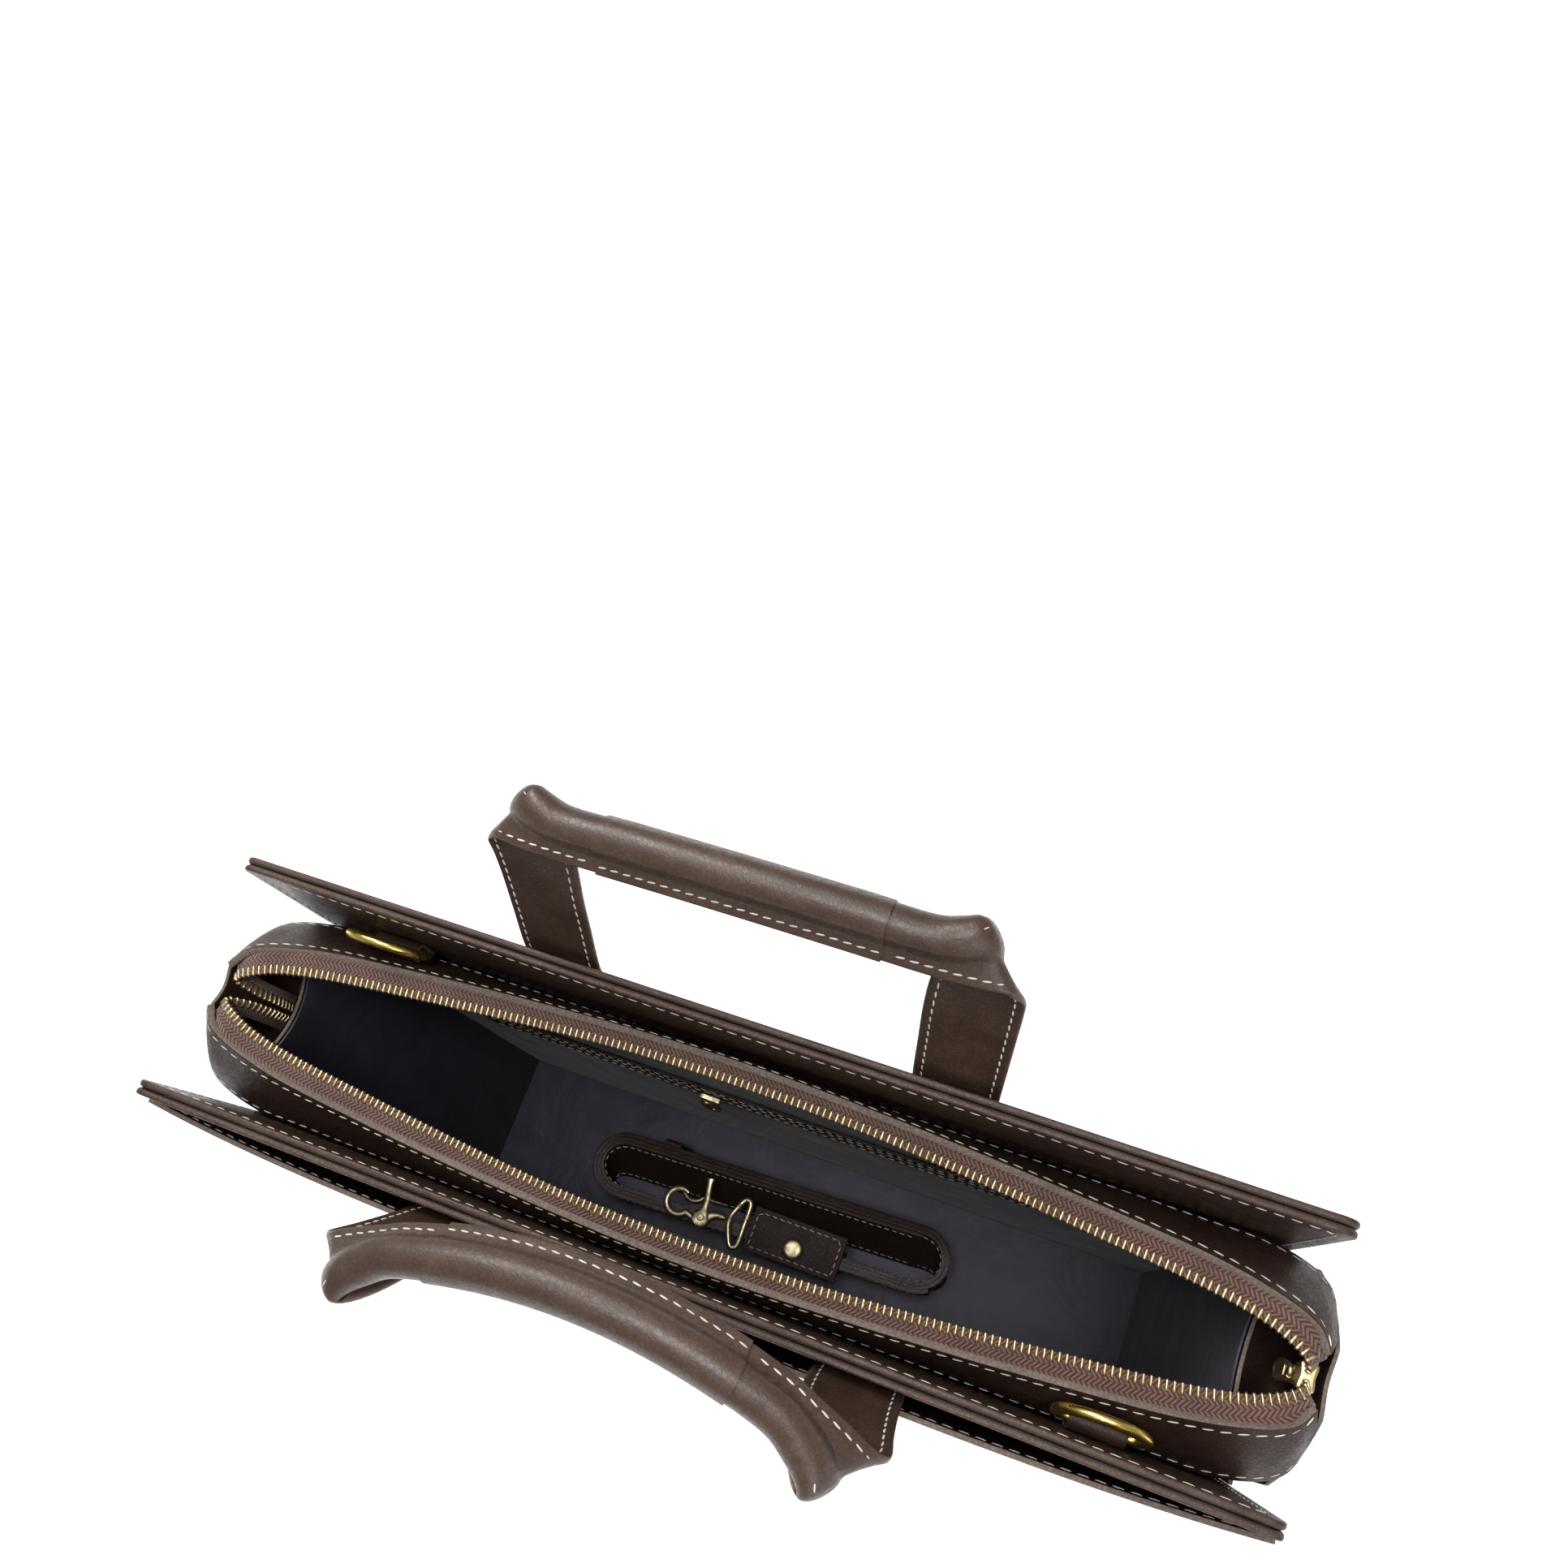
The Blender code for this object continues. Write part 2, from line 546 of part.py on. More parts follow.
def make_strap_rings():
    """One D-ring by each end, held upright in a leather tab between a zip strip and a panel."""
    bar = RING_ROD / 2
    hole = bar + FIT
    outside = hole + RING_TAB_LEATHER
    inward = STRIP_FOOT_Y + STRIP / 2 + 2 * FIT - (RING_Y - outside)
    ring_z = STRIP_FOOT + inward / strip_slope(RING_X - RING_TAB_WIDTH / 2) + outside / 2
    for side, along, name in ((1, -1, "rear_left"), (-1, 1, "front_right")):
        centre = along * RING_X
        axis = Vector((centre, side * RING_Y, ring_z))
        half = (RING_INSIDE + RING_ROD) / 2
        bend = 4 * MM
        outline = arc((half - bend, bend), bend, 270, 360, 3)
        outline += arc((0, RING_HEIGHT - half), half, 0, 180, 12)
        outline += arc((bend - half, bend), bend, 180, 270, 3)
        lean = (-side * math.sin(RING_LEAN), math.cos(RING_LEAN))
        points = [axis + Vector((u, v * lean[0], v * lean[1])) for u, v in outline]
        rod(f"d_ring_{name}", points, bar, BRASS, True, axis, 2)

        back = PANEL_FACE_Y - FIT
        foot = ring_z - 3 * outside
        wrap = arc((RING_Y, ring_z), outside, 60, 225, 8)
        section = [*wrap, (back - 2 * RING_TAB_LEATHER - FIT, foot), (back, foot), (back, ring_z)]
        section = [(side * y, z) for y, z in section]
        half_tab = RING_TAB_WIDTH / 2
        tab = prism(f"ring_tab_{name}", section, "X", centre - half_tab, centre + half_tab, BROWN)
        bore = [(side * RING_Y + y, ring_z + z) for y, z in arc((0, 0), hole, 0, 330, 11)]
        tool = prism(f"ring_tab_bore_{name}", bore, "X", centre - RING_TAB_WIDTH, centre + RING_TAB_WIDTH, BROWN)
        cut_with(tab, tool)


def grip_section(centre, flange, radius, tongue):
    """A round with a flat tongue: where the rolled leather's two edges are sewn together."""
    side = Vector((0, -flange.z, flange.y))
    start = math.asin(GRIP_FLANGE_HALF / radius) if tongue else 0.0
    steps = 12
    span = 2 * math.pi - 2 * start
    count = steps + 1 if tongue else steps
    points = []
    for i in range(count):
        angle = start + span * i / steps
        points.append(centre + radius * (math.cos(angle) * flange + math.sin(angle) * side))
    if tongue:
        points.append(centre + flange * GRIP_FLANGE - side * GRIP_FLANGE_HALF)
        points.append(centre + flange * GRIP_FLANGE + side * GRIP_FLANGE_HALF)
    return points


def make_handle(name, side, seat, rise, out, bow_out, bow_down, flange):
    """A rolled grip on two flat straps. Each strap bends at the axis, above its sewn lower part."""
    axis = Vector((0, side * HANDLE_Y, HANDLE_AXIS_Z))

    def along_grip(share):
        x = share * GRIP_HALF_LENGTH
        return axis + Vector((x, side * (out + bow_out * share**2), rise - bow_down * share**2))

    top = along_grip(1) - axis
    top.x = 0
    up = top.normalized()
    across = Vector((0, up.z, -up.y))
    half = across * HANDLE_STRAP / 2
    leg_low = axis + up * HANDLE_BEND_ROOM
    leg_high = axis + up * (top.length - seat - 2 * FIT)
    leg = [leg_low - half, leg_low + half, leg_high + half, leg_high - half]
    for along, end in ((-1, "left"), (1, "right")):
        low_x = along * HANDLE_STRAP_X - HANDLE_STRAP_WIDTH / 2
        high_x = low_x + HANDLE_STRAP_WIDTH
        outline = [(p.y, p.z) for p in leg]
        prism(f"{name}_handle_strap_{end}", outline, "X", low_x, high_x, BROWN, axis)
        low = (low_x, axis.y - HANDLE_STRAP / 2, HANDLE_AXIS_Z - HANDLE_ANCHOR)
        high = (high_x, axis.y + HANDLE_STRAP / 2, HANDLE_AXIS_Z - HANDLE_BEND_ROOM)
        block(f"{name}_handle_anchor_{end}", low, high, BROWN)

    flange = Vector((0, side * flange[0], flange[1])).normalized()
    shares = [-1 + i / 6 for i in range(13)]
    shell = [grip_section(along_grip(share), flange, GRIP_RADIUS, True) for share in shares]
    grip = loft(f"{name}_handle_grip", shell, BROWN, axis)
    longer = [share * 1.02 for share in shares]
    bore = [grip_section(along_grip(share), flange, GRIP_BORE, False) for share in longer]
    cut_with(grip, loft(f"{name}_grip_bore_tool", bore, CORE_LOOK))
    shorter = [share * 0.99 for share in shares]
    rope = [grip_section(along_grip(share), flange, GRIP_BORE - FIT, False) for share in shorter]
    loft(f"{name}_handle_core", rope, CORE_LOOK, axis)


def make_handles():
    """The rear handle leans out and is straight; the front one stands up and bows outwards at its ends."""
    make_handle(
        name="rear",
        side=1,
        seat=GRIP_FLANGE,
        rise=74 * MM,
        out=27.1 * MM,
        bow_out=0.0,
        bow_down=2 * MM,
        flange=(-0.351, -0.936),
    )
    make_handle(
        name="front",
        side=-1,
        seat=GRIP_RADIUS,
        rise=73 * MM,
        out=0.7 * MM,
        bow_out=17 * MM,
        bow_down=13 * MM,
        flange=(-0.85, -0.53),
    )


def turned(x, y):
    """A place given along the coil, which lies a little askew in the bag."""
    c, s = math.cos(COIL_TURN), math.sin(COIL_TURN)
    return (COIL_CENTRE[0] + x * c - y * s, COIL_CENTRE[1] + x * s + y * c)


def stadium(length, width, steps=8):
    radius = width / 2
    straight = length / 2 - radius
    right = arc((straight, 0), radius, -90, 90, steps)
    left = arc((-straight, 0), radius, 90, 270, steps)
    return [turned(x, y) for x, y in right + left]


def make_coil():
    """The strap stands on its edge, wound flat in three layers, and is one ring here."""
    outline = stadium(COIL_LENGTH, COIL_WIDTH)
    coil = prism("shoulder_strap_coil", outline, "Z", COIL_FOOT, COIL_TOP, BROWN)
    hollow = stadium(COIL_LENGTH - 2 * COIL_WALL, COIL_WIDTH - 2 * COIL_WALL)
    tool = prism("coil_hollow_tool", hollow, "Z", COIL_FOOT - 5 * MM, COIL_TOP + 5 * MM, BROWN)
    cut_with(coil, tool)
    for name, along, side in KEEPERS:
        make_keeper(f"strap_keeper_{name}", along, side)


def make_keeper(name, along, side):
    """A leather loop round one long side of the coil."""
    inner = COIL_WIDTH / 2 - COIL_WALL - FIT
    outer = COIL_WIDTH / 2 + FIT
    half = KEEPER_WIDTH / 2

    def ring(low_y, high_y, half_x):
        corners = ((-half_x, low_y), (half_x, low_y), (half_x, high_y), (-half_x, high_y))
        return [turned(along + x, side * y) for x, y in corners]

    wall = KEEPER_LEATHER
    foot = COIL_FOOT - FIT - wall
    top = COIL_TOP - 4 * MM
    keeper = prism(name, ring(inner - wall, outer + wall, half), "Z", foot, top, BROWN)
    hollow = ring(inner, outer, half + wall)
    cut_with(keeper, prism(f"{name}_tool", hollow, "Z", COIL_FOOT - FIT, top + wall, BROWN))


def disc(centre, radius, steps=16):
    return arc(centre, radius, 0, 360 - 360 / steps, steps - 1)


def make_strap_end():
    """The strap's end: a riveted leather tab that lies on the coil and holds the hook's loop."""
    cx, cy = TAB_CENTRE
    half_x, half_y = TAB_LENGTH / 2, TAB_WIDTH / 2
    outline = rounded_rectangle((cx - half_x, cy - half_y), (cx + half_x, cy + half_y), 4 * MM, 4 * MM)
    prism("strap_tab", outline, "Z", TAB_Z, TAB_Z + TAB_THICKNESS, BROWN)
    top = TAB_Z + TAB_THICKNESS + FIT
    prism("tab_rivet", disc((cx, cy - 3 * MM), RIVET_RADIUS), "Z", top, top + RIVET_HEIGHT, OLD_BRASS)


def make_hook():
    """Loop, swivelling hook and its sprung lever, all lying level."""
    cx, cy = TAB_CENTRE
    rod_radius = HOOK_ROD / 2
    loop_x = cx - TAB_LENGTH / 2 - FIT - rod_radius
    reach = TAB_WIDTH / 2 + 1 * MM
    loop = [
        (loop_x, cy - reach),
        (loop_x, cy + reach),
        (loop_x - 5 * MM, cy + reach - 2 * MM),
        (HOOK_SWIVEL_X + rod_radius + FIT, cy + 3 * MM),
        (HOOK_SWIVEL_X + rod_radius + FIT, cy - 3 * MM),
        (loop_x - 5 * MM, cy - reach + 2 * MM),
    ]
    rod("hook_loop", [(x, y, HOOK_Z) for x, y in loop], rod_radius, OLD_BRASS, True, (0, 0, 0), 1)

    half = HOOK_PLATE / 2
    pivot = (HOOK_PIVOT_X, cy - 4 * MM)
    axis = (HOOK_SWIVEL_X, cy, HOOK_Z)
    eye = (HOOK_EYE_X, cy)
    gap = HOOK_ROD
    inner = HOOK_EYE_RADIUS - gap
    outline = arc(eye, HOOK_EYE_RADIUS, 40, 300, 14)
    outline += [(pivot[0], pivot[1] - 5 * MM), (HOOK_SWIVEL_X - rod_radius, cy - 3 * MM)]
    outline += [(HOOK_SWIVEL_X - rod_radius, cy + 3 * MM), (pivot[0] + 2 * MM, cy + 4.5 * MM)]
    body = prism("hook_body", outline, "Z", HOOK_Z - half, HOOK_Z + half / 3, OLD_BRASS, axis)
    tool = prism("hook_eye_tool", disc(eye, inner), "Z", HOOK_Z - 3 * half, HOOK_Z + 3 * half, OLD_BRASS)
    cut_with(body, tool)

    low = HOOK_Z + half / 3 + FIT
    lever = disc(pivot, 5 * MM, 12)
    tip = [(pivot[0] - 1 * MM, pivot[1] + HOOK_LEVER_LENGTH), (pivot[0] - 3.4 * MM, pivot[1] + HOOK_LEVER_LENGTH)]
    lever = [*lever[:3], *tip, *lever[6:]]
    lever_axis = (pivot[0], pivot[1], low)
    prism("hook_lever", lever, "Z", low, low + 2 * MM, OLD_BRASS, lever_axis)
    pin_low = low + 2 * MM + FIT
    prism("hook_pin", disc(pivot, HOOK_PIN_RADIUS, 10), "Z", pin_low, pin_low + 1 * MM, OLD_BRASS, axis)


def make_second_hook():
    """The strap's other end lies inside the coil, with a hook of one piece on it."""
    wide = min(HOOK_EYE_RADIUS, COIL_WIDTH / 2 - COIL_WALL - 2 * FIT)
    eye_x = KEEPERS[0][1] + KEEPER_WIDTH / 2 + wide + 2 * FIT
    outline = arc((eye_x, 0), wide, 25, 335, 14)
    outline += [(eye_x + 30 * MM, -0.45 * wide), (eye_x + 30 * MM, 0.45 * wide)]
    outline = [turned(x, y) for x, y in outline]
    hook = prism("second_hook", outline, "Z", COIL_FOOT, COIL_FOOT + HOOK_PLATE, OLD_BRASS)
    hollow = [turned(x, y) for x, y in disc((eye_x, 0), wide - HOOK_ROD)]
    low, high = COIL_FOOT - HOOK_PLATE, COIL_FOOT + 2 * HOOK_PLATE
    cut_with(hook, prism("second_hook_tool", hollow, "Z", low, high, OLD_BRASS))


def main():
    clear_scene()
    make_panels()
    make_base()
    make_gussets()
    make_front_pocket()
    make_zip_strips()
    make_zip_chains()
    make_zip_end()
    make_lining()
    make_inner_pocket()
    make_strap_rings()
    make_handles()
    make_coil()
    make_strap_end()
    make_hook()
    make_second_hook()


main()
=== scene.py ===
"""Leather briefcase, standing open: the finished surfaces, built piece by piece around the fixed frame."""

import json  # noqa: E402
import math  # noqa: E402
from contextlib import contextmanager  # noqa: E402

import bmesh  # noqa: E402
import bpy  # noqa: E402
import numpy as np  # noqa: E402
from mathutils import Matrix, Vector  # noqa: E402


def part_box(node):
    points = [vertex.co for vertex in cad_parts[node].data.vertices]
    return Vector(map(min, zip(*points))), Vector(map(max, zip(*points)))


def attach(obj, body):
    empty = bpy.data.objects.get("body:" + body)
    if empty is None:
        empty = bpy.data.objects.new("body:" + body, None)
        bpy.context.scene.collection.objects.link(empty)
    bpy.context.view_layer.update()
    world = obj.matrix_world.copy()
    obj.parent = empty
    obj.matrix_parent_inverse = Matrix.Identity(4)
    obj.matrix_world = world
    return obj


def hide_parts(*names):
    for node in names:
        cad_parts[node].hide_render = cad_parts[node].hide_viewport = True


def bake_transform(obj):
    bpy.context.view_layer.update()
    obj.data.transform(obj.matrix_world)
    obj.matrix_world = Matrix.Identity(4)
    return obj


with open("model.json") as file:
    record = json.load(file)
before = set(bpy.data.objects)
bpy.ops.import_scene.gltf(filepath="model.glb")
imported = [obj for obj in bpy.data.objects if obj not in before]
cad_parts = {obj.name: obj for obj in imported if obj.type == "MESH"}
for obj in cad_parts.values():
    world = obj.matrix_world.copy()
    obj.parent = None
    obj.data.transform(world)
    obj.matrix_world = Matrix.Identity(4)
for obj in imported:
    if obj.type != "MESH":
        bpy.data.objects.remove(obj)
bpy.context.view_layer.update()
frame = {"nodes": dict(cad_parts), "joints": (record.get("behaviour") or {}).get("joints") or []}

bl_info = {
    "name": "Leather Briefcase",
    "version": (1, 0, 0),
    "blender": (4, 5, 0),
    "location": "View3D > Sidebar > Briefcase",
    "description": "Builds a leather briefcase piece by piece around its fixed frame",
    "category": "Add Mesh",
}

MM = 0.001
MERGE = 2e-6  # points nearer than this are one point

# Places that come from the frame
PANEL_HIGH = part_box("rear_outer_panel")[1]
HALF_LENGTH = PANEL_HIGH.x
TOP = PANEL_HIGH.z
OUTER_Y = PANEL_HIGH.y
FACE_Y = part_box("rear_inner_panel")[0].y
ZIP_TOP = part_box("rear_zip_strip")[1].z
ZIP_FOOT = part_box("rear_zip_strip")[0].z
STRIP_FOOT_Y = FACE_Y - 1.8 * MM
STRIP_TOP_Y = FACE_Y - 6.4 * MM
CHAIN_Y = STRIP_TOP_Y - 5.8 * MM
CHAIN_Z = ZIP_TOP - 2 * MM
LINING_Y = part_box("rear_lining")[0].y
LINING_END_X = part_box("right_lining_end")[0].x
COIL_LOW, COIL_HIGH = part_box("shoulder_strap_coil")
JOINTS = {joint["name"]: joint for joint in frame["joints"]}

# Lines of the zip, from the middle to one end, as (along, share of the half width)
CHAIN_LINE = (
    *((0, 1), (45, 0.966), (90, 0.849), (130, 0.712)),
    *((165, 0.579), (185, 0.452), (196, 0.315), (201.5, 0.192)),
)
TOP_LINE = (
    *((0, 1), (45, 0.969), (90, 0.897), (130, 0.806)),
    *((165, 0.709), (187, 0.589), (201, 0.44), (206.5, 0.229)),
)
FOOT_LINE = ((0, 1), (45, 1), (90, 1), (130, 1), (165, 1), (188, 0.985), (206, 0.8), (211, 0.38))
FOOT_LIFT = (0, 0, 0, 0, 0, 3, 10, 18)  # how far each point of the foot's line rises, in mm
GRIP_RADIUS = 6.7 * MM


# ---------------------------------------------------------------- sizes and colours


def length_property(name, default, description):
    return bpy.props.FloatProperty(
        name=name, default=default, min=0.0, unit="LENGTH", precision=5, description=description
    )


def colour_property(name, default, description):
    return bpy.props.FloatVectorProperty(
        name=name, default=default, size=3, min=0.0, max=1.0, subtype="COLOR", description=description
    )


class BriefcaseSizes(bpy.types.PropertyGroup):
    stitch_pitch: length_property("Stitch pitch", 5.3 * MM, "Distance from one stitch to the next")
    stitch_length: length_property("Stitch length", 4.0 * MM, "Length of the thread seen in one stitch")
    thread: length_property("Thread", 0.58 * MM, "Width of the sewing thread")
    fine_pitch: length_property("Fine stitch pitch", 4.2 * MM, "Stitch pitch on the handles and small leather")
    tooth_pitch: length_property("Tooth pitch", 2.4 * MM, "Distance between two teeth of the main zip")
    tooth_length: length_property("Tooth length", 4.3 * MM, "Length of a tooth across the tape")
    lip: length_property("Lip rounding", 0.8 * MM, "Rounding of the turned leather edges")
    ring_rod: length_property("Ring rod", 3.6 * MM, "Thickness of the D-rings' rod")


class BriefcaseColours(bpy.types.PropertyGroup):
    leather: colour_property("Leather", (0.0245, 0.0122, 0.0085), "Body leather in shade")
    leather_high: colour_property("Worn leather", (0.074, 0.043, 0.029), "Leather where it is rubbed")
    grip: colour_property("Grip leather", (0.040, 0.0210, 0.0140), "Handle leather")
    edge: colour_property("Cut edge", (0.120, 0.090, 0.072), "Raw edges of the leather")
    thread: colour_property("Thread", (0.56, 0.53, 0.49), "Sewing thread")
    lining: colour_property("Lining", (0.0270, 0.0260, 0.0400), "Inside cloth")
    tape: colour_property("Zip tape", (0.165, 0.078, 0.060), "Woven tape of the zip")
    brass: colour_property("Brass", (0.50, 0.40, 0.22), "Teeth and slider")
    bright: colour_property("Ring plating", (0.83, 0.62, 0.17), "D-rings")
    old_brass: colour_property("Old brass", (0.50, 0.42, 0.26), "Hook and rivet")
    backdrop: colour_property("Backdrop", (0.93, 0.93, 0.93), "Floor of the stage")


def sizes():
    return bpy.context.scene.briefcase_sizes


def colours():
    return bpy.context.scene.briefcase_colours


# ---------------------------------------------------------------- small tools


def clear_selection():
    if bpy.context.mode != "OBJECT":
        bpy.ops.object.mode_set(mode="OBJECT")
    bpy.ops.object.select_all(action="DESELECT")


def make_active(piece):
    clear_selection()
    piece.select_set(True)
    bpy.context.view_layer.objects.active = piece


@contextmanager
def editing(piece):
    """Edit mode on one piece with all of it selected."""
    make_active(piece)
    bpy.ops.object.mode_set(mode="EDIT")
    bpy.ops.mesh.select_all(action="SELECT")
    yield
    bpy.ops.object.mode_set(mode="OBJECT")


def name_piece(name):
    piece = bpy.context.object
    piece.name = name
    piece.data.name = name
    return piece


def points_of(piece):
    found = np.empty(len(piece.data.vertices) * 3)
    piece.data.vertices.foreach_get("co", found)
    return found.reshape(-1, 3)


def set_points(piece, points):
    piece.data.vertices.foreach_set("co", np.ascontiguousarray(points, dtype=float).ravel())
    piece.data.update()


def finish_shape(piece, materials, smooth_angle=38):
    """Materials on, faces outwards, smooth shading, and the place moved into the mesh."""
    make_active(piece)
    bpy.ops.object.transform_apply(location=True, rotation=True, scale=True)
    for material in materials:
        piece.data.materials.append(material)
    with editing(piece):
        bpy.ops.mesh.remove_doubles(threshold=MERGE)
        bpy.ops.mesh.normals_make_consistent(inside=False)
    bpy.ops.object.shade_smooth_by_angle(angle=math.radians(smooth_angle))
    return piece


def apply_modifier(piece, kind, name, **settings):
    make_active(piece)
    modifier = piece.modifiers.new(name, kind)
    for key, value in settings.items():
        setattr(modifier, key, value)
    bpy.ops.object.modifier_apply(modifier=name)


def shaped_grid(name, columns, rows, place, measure=(1.0, 1.0), rubbed=None):
    """A flat grid moved point by point to where place(u, v) says, with a UV map in metres.

    rubbed(u, v) says how worn the finish is at each point, from 0 to 1.
    """
    clear_selection()
    bpy.ops.mesh.primitive_grid_add(x_subdivisions=columns, y_subdivisions=rows, size=2)
    piece = name_piece(name)
    flat = points_of(piece)
    u, v = (flat[:, 0] + 1) / 2, (flat[:, 1] + 1) / 2
    set_points(piece, place(u, v))
    if rubbed:
        worn = piece.data.attributes.new("rubbed", "FLOAT", "POINT")
        worn.data.foreach_set("value", np.clip(rubbed(u, v), 0, 1).astype(np.float32))
    scale_uv(piece, measure)
    return piece


def scale_uv(piece, measure):
    layer = piece.data.uv_layers.active.data
    uv = np.empty(len(layer) * 2)
    layer.foreach_get("uv", uv)
    layer.foreach_set("uv", (uv.reshape(-1, 2) * np.array(measure)).ravel())


def sheet(name, columns, rows, place, thickness, materials, measure=(1.0, 1.0), bevel=0.0, offset=0.0):
    """A leather or cloth sheet of even thickness. The second material, if any, is its cut edge."""
    piece = shaped_grid(name, columns, rows, place, measure)
    for material in materials:
        piece.data.materials.append(material)
    rim = 1 if len(materials) > 1 else 0
    apply_modifier(
        piece,
        "SOLIDIFY",
        "Thickness",
        thickness=thickness,
        offset=offset,
        use_even_offset=False,
        material_offset_rim=rim,
    )
    if bevel:
        soften(piece, "Edge", bevel, 2, 50)
    return finish_shape(piece, ())


def soften(piece, name, width, segments, angle):
    """Bevels every edge that turns by more than the angle, in degrees."""
    limit = math.radians(angle)
    apply_modifier(
        piece, "BEVEL", name, width=width, segments=segments, limit_method="ANGLE", angle_limit=limit
    )


def block(name, low, high, cuts=0):
    """A block between two corners, with each face cut up if more shaping follows."""
    clear_selection()
    bpy.ops.mesh.primitive_cube_add(size=1, location=(low + high) / 2)
    piece = name_piece(name)
    with editing(piece):
        bpy.ops.transform.resize(value=high - low)
        if cuts:
            bpy.ops.mesh.subdivide(number_cuts=cuts)
    return piece


def board(name, low, high, corner, lip, materials, top_only=True):
    """A stiff leather board: a block with rounded corners and turned, rounded lips."""
    low, high = Vector(low), Vector(high)
    size, middle = high - low, (low.z + high.z) / 2
    thin = min(range(3), key=lambda i: size[i])
    piece = block(name, low, high)
    with editing(piece):
        mesh = bmesh.from_edit_mesh(piece.data)
        for face in mesh.faces:
            face.select_set(False)
        for edge in mesh.edges:
            a, b = (piece.matrix_world @ vertex.co for vertex in edge.verts)
            through = abs((a - b)[thin]) > 1e-7
            edge.select_set(through and (not top_only or a.z > middle))
        bmesh.update_edit_mesh(piece.data)
        bpy.ops.mesh.bevel(offset=corner, segments=8, affect="EDGES")
    soften(piece, "Lip", lip, 4, 60)
    return finish_shape(piece, materials)


def slider_body(name, node, shape, material):
    """A small cast body: a cut-up block whose points shape(points, half) moves, then rounded."""
    low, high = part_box(node)
    piece = block(name, low, high, 3)
    points = points_of(piece)
    shape(points, (high - low) / 2)
    set_points(piece, points)
    apply_modifier(piece, "SUBSURF", "Rounding", levels=2, render_levels=2)
    return finish_shape(piece, (material,), 60)


def curve_at(points, t):
    """Points on a smooth line through the given points, at parameters from 0 to 1."""
    row = np.asarray(points, dtype=float)
    row = np.vstack([2 * row[0] - row[1], row, 2 * row[-1] - row[-2]])
    along = np.clip(np.asarray(t, dtype=float), 0, 1) * (len(row) - 3)
    i = np.minimum(along.astype(int), len(row) - 4)
    f = (along - i)[:, None]
    a, b, c, d = row[i], row[i + 1], row[i + 2], row[i + 3]
    return b + 0.5 * f * (c - a + f * (2 * a - 5 * b + 4 * c - d + f * (3 * (b - c) + d - a)))


def even_steps(points, pitch=None, count=None):
    """Points spaced evenly along a line, by pitch or by count."""
    row = np.asarray(points, dtype=float)
    run = np.concatenate([[0], np.cumsum(np.linalg.norm(np.diff(row[:, :3], axis=0), axis=1))])
    if count is None:
        count = max(2, round(run[-1] / pitch) + 1)
    at = np.linspace(0, run[-1], count)
    return np.stack([np.interp(at, run, row[:, i]) for i in range(row.shape[1])], axis=1)


def between(rows, share):
    """Rows of numbers read at shares from 0 to 1 of the way through, in straight lines from row to row."""
    at = np.clip(share, 0, 1) * (len(rows) - 1)
    return np.stack([np.interp(at, np.arange(len(rows)), rows[:, i]) for i in range(rows.shape[1])], axis=1)


def unit(vectors):
    vectors = np.asarray(vectors, dtype=float)
    return vectors / np.maximum(np.linalg.norm(vectors, axis=-1, keepdims=True), 1e-12)


def tangents(points, closed=False):
    if closed:
        return unit(np.roll(points, -1, axis=0) - np.roll(points, 1, axis=0))
    return unit(np.gradient(points, axis=0))


def close_tube(piece, capped):
    """Joins a tube along its seam and fills its open ends."""
    with editing(piece):
        bpy.ops.mesh.remove_doubles(threshold=MERGE)
        if capped:
            bpy.ops.mesh.select_all(action="SELECT")
            bpy.ops.mesh.fill_holes(sides=0)


def swept(name, path, section, materials, closed=False, up=(0, 0, 1), smooth_angle=45):
    """A tube along a path. section(s, angle) gives the two offsets from the path, for s from 0 to 1."""
    path = np.asarray(path, dtype=float)
    count = len(path)
    ahead = tangents(path, closed)
    side = np.cross(ahead, np.array(up, dtype=float))
    weak = np.linalg.norm(side, axis=1) < 0.2
    if weak.any():
        side[0] = np.cross(ahead[0], (0.3, 0.9, 0.2))
        for i in range(1, count):
            side[i] = side[i - 1] - ahead[i] * np.dot(side[i - 1], ahead[i])
    side = unit(side)
    top = np.cross(side, ahead)
    around = 14

    def place(u, v):
        i = np.rint(v * (count if closed else count - 1)).astype(int) % count
        a, b = section(i / max(count - 1, 1), u * 2 * math.pi)
        return path[i] + side[i] * a[:, None] + top[i] * b[:, None]

    piece = shaped_grid(name, around, count if closed else count - 1, place)
    close_tube(piece, not closed)
    return finish_shape(piece, materials, smooth_angle)


def round_section(radius, flat=1.0):
    return lambda s, angle: (radius * np.cos(angle), radius * flat * np.sin(angle))


def unit_shape(widths, heights, length, materials):
    """A small block swollen and narrowed along its length, then rounded."""
    clear_selection()
    bpy.ops.mesh.primitive_grid_add(x_subdivisions=len(widths) - 1, y_subdivisions=1, size=2)
    piece = name_piece("unit_shape")
    flat = points_of(piece)
    u = (flat[:, 0] + 1) / 2
    i = np.rint(u * (len(widths) - 1)).astype(int)
    across = np.array(widths)[i] / 2
    half = np.array(heights)[i] / 2
    set_points(piece, np.stack([flat[:, 1] * across, (u - 0.5) * length, -half], axis=1))
    with editing(piece):
        bpy.ops.mesh.extrude_region_move()
        mesh = bmesh.from_edit_mesh(piece.data)
        for vertex in mesh.verts:
            if vertex.select:
                vertex.co.z = -vertex.co.z
        bmesh.update_edit_mesh(piece.data)
    apply_modifier(piece, "SUBSURF", "Rounding", levels=1, render_levels=1)
    return finish_shape(piece, materials, 180)


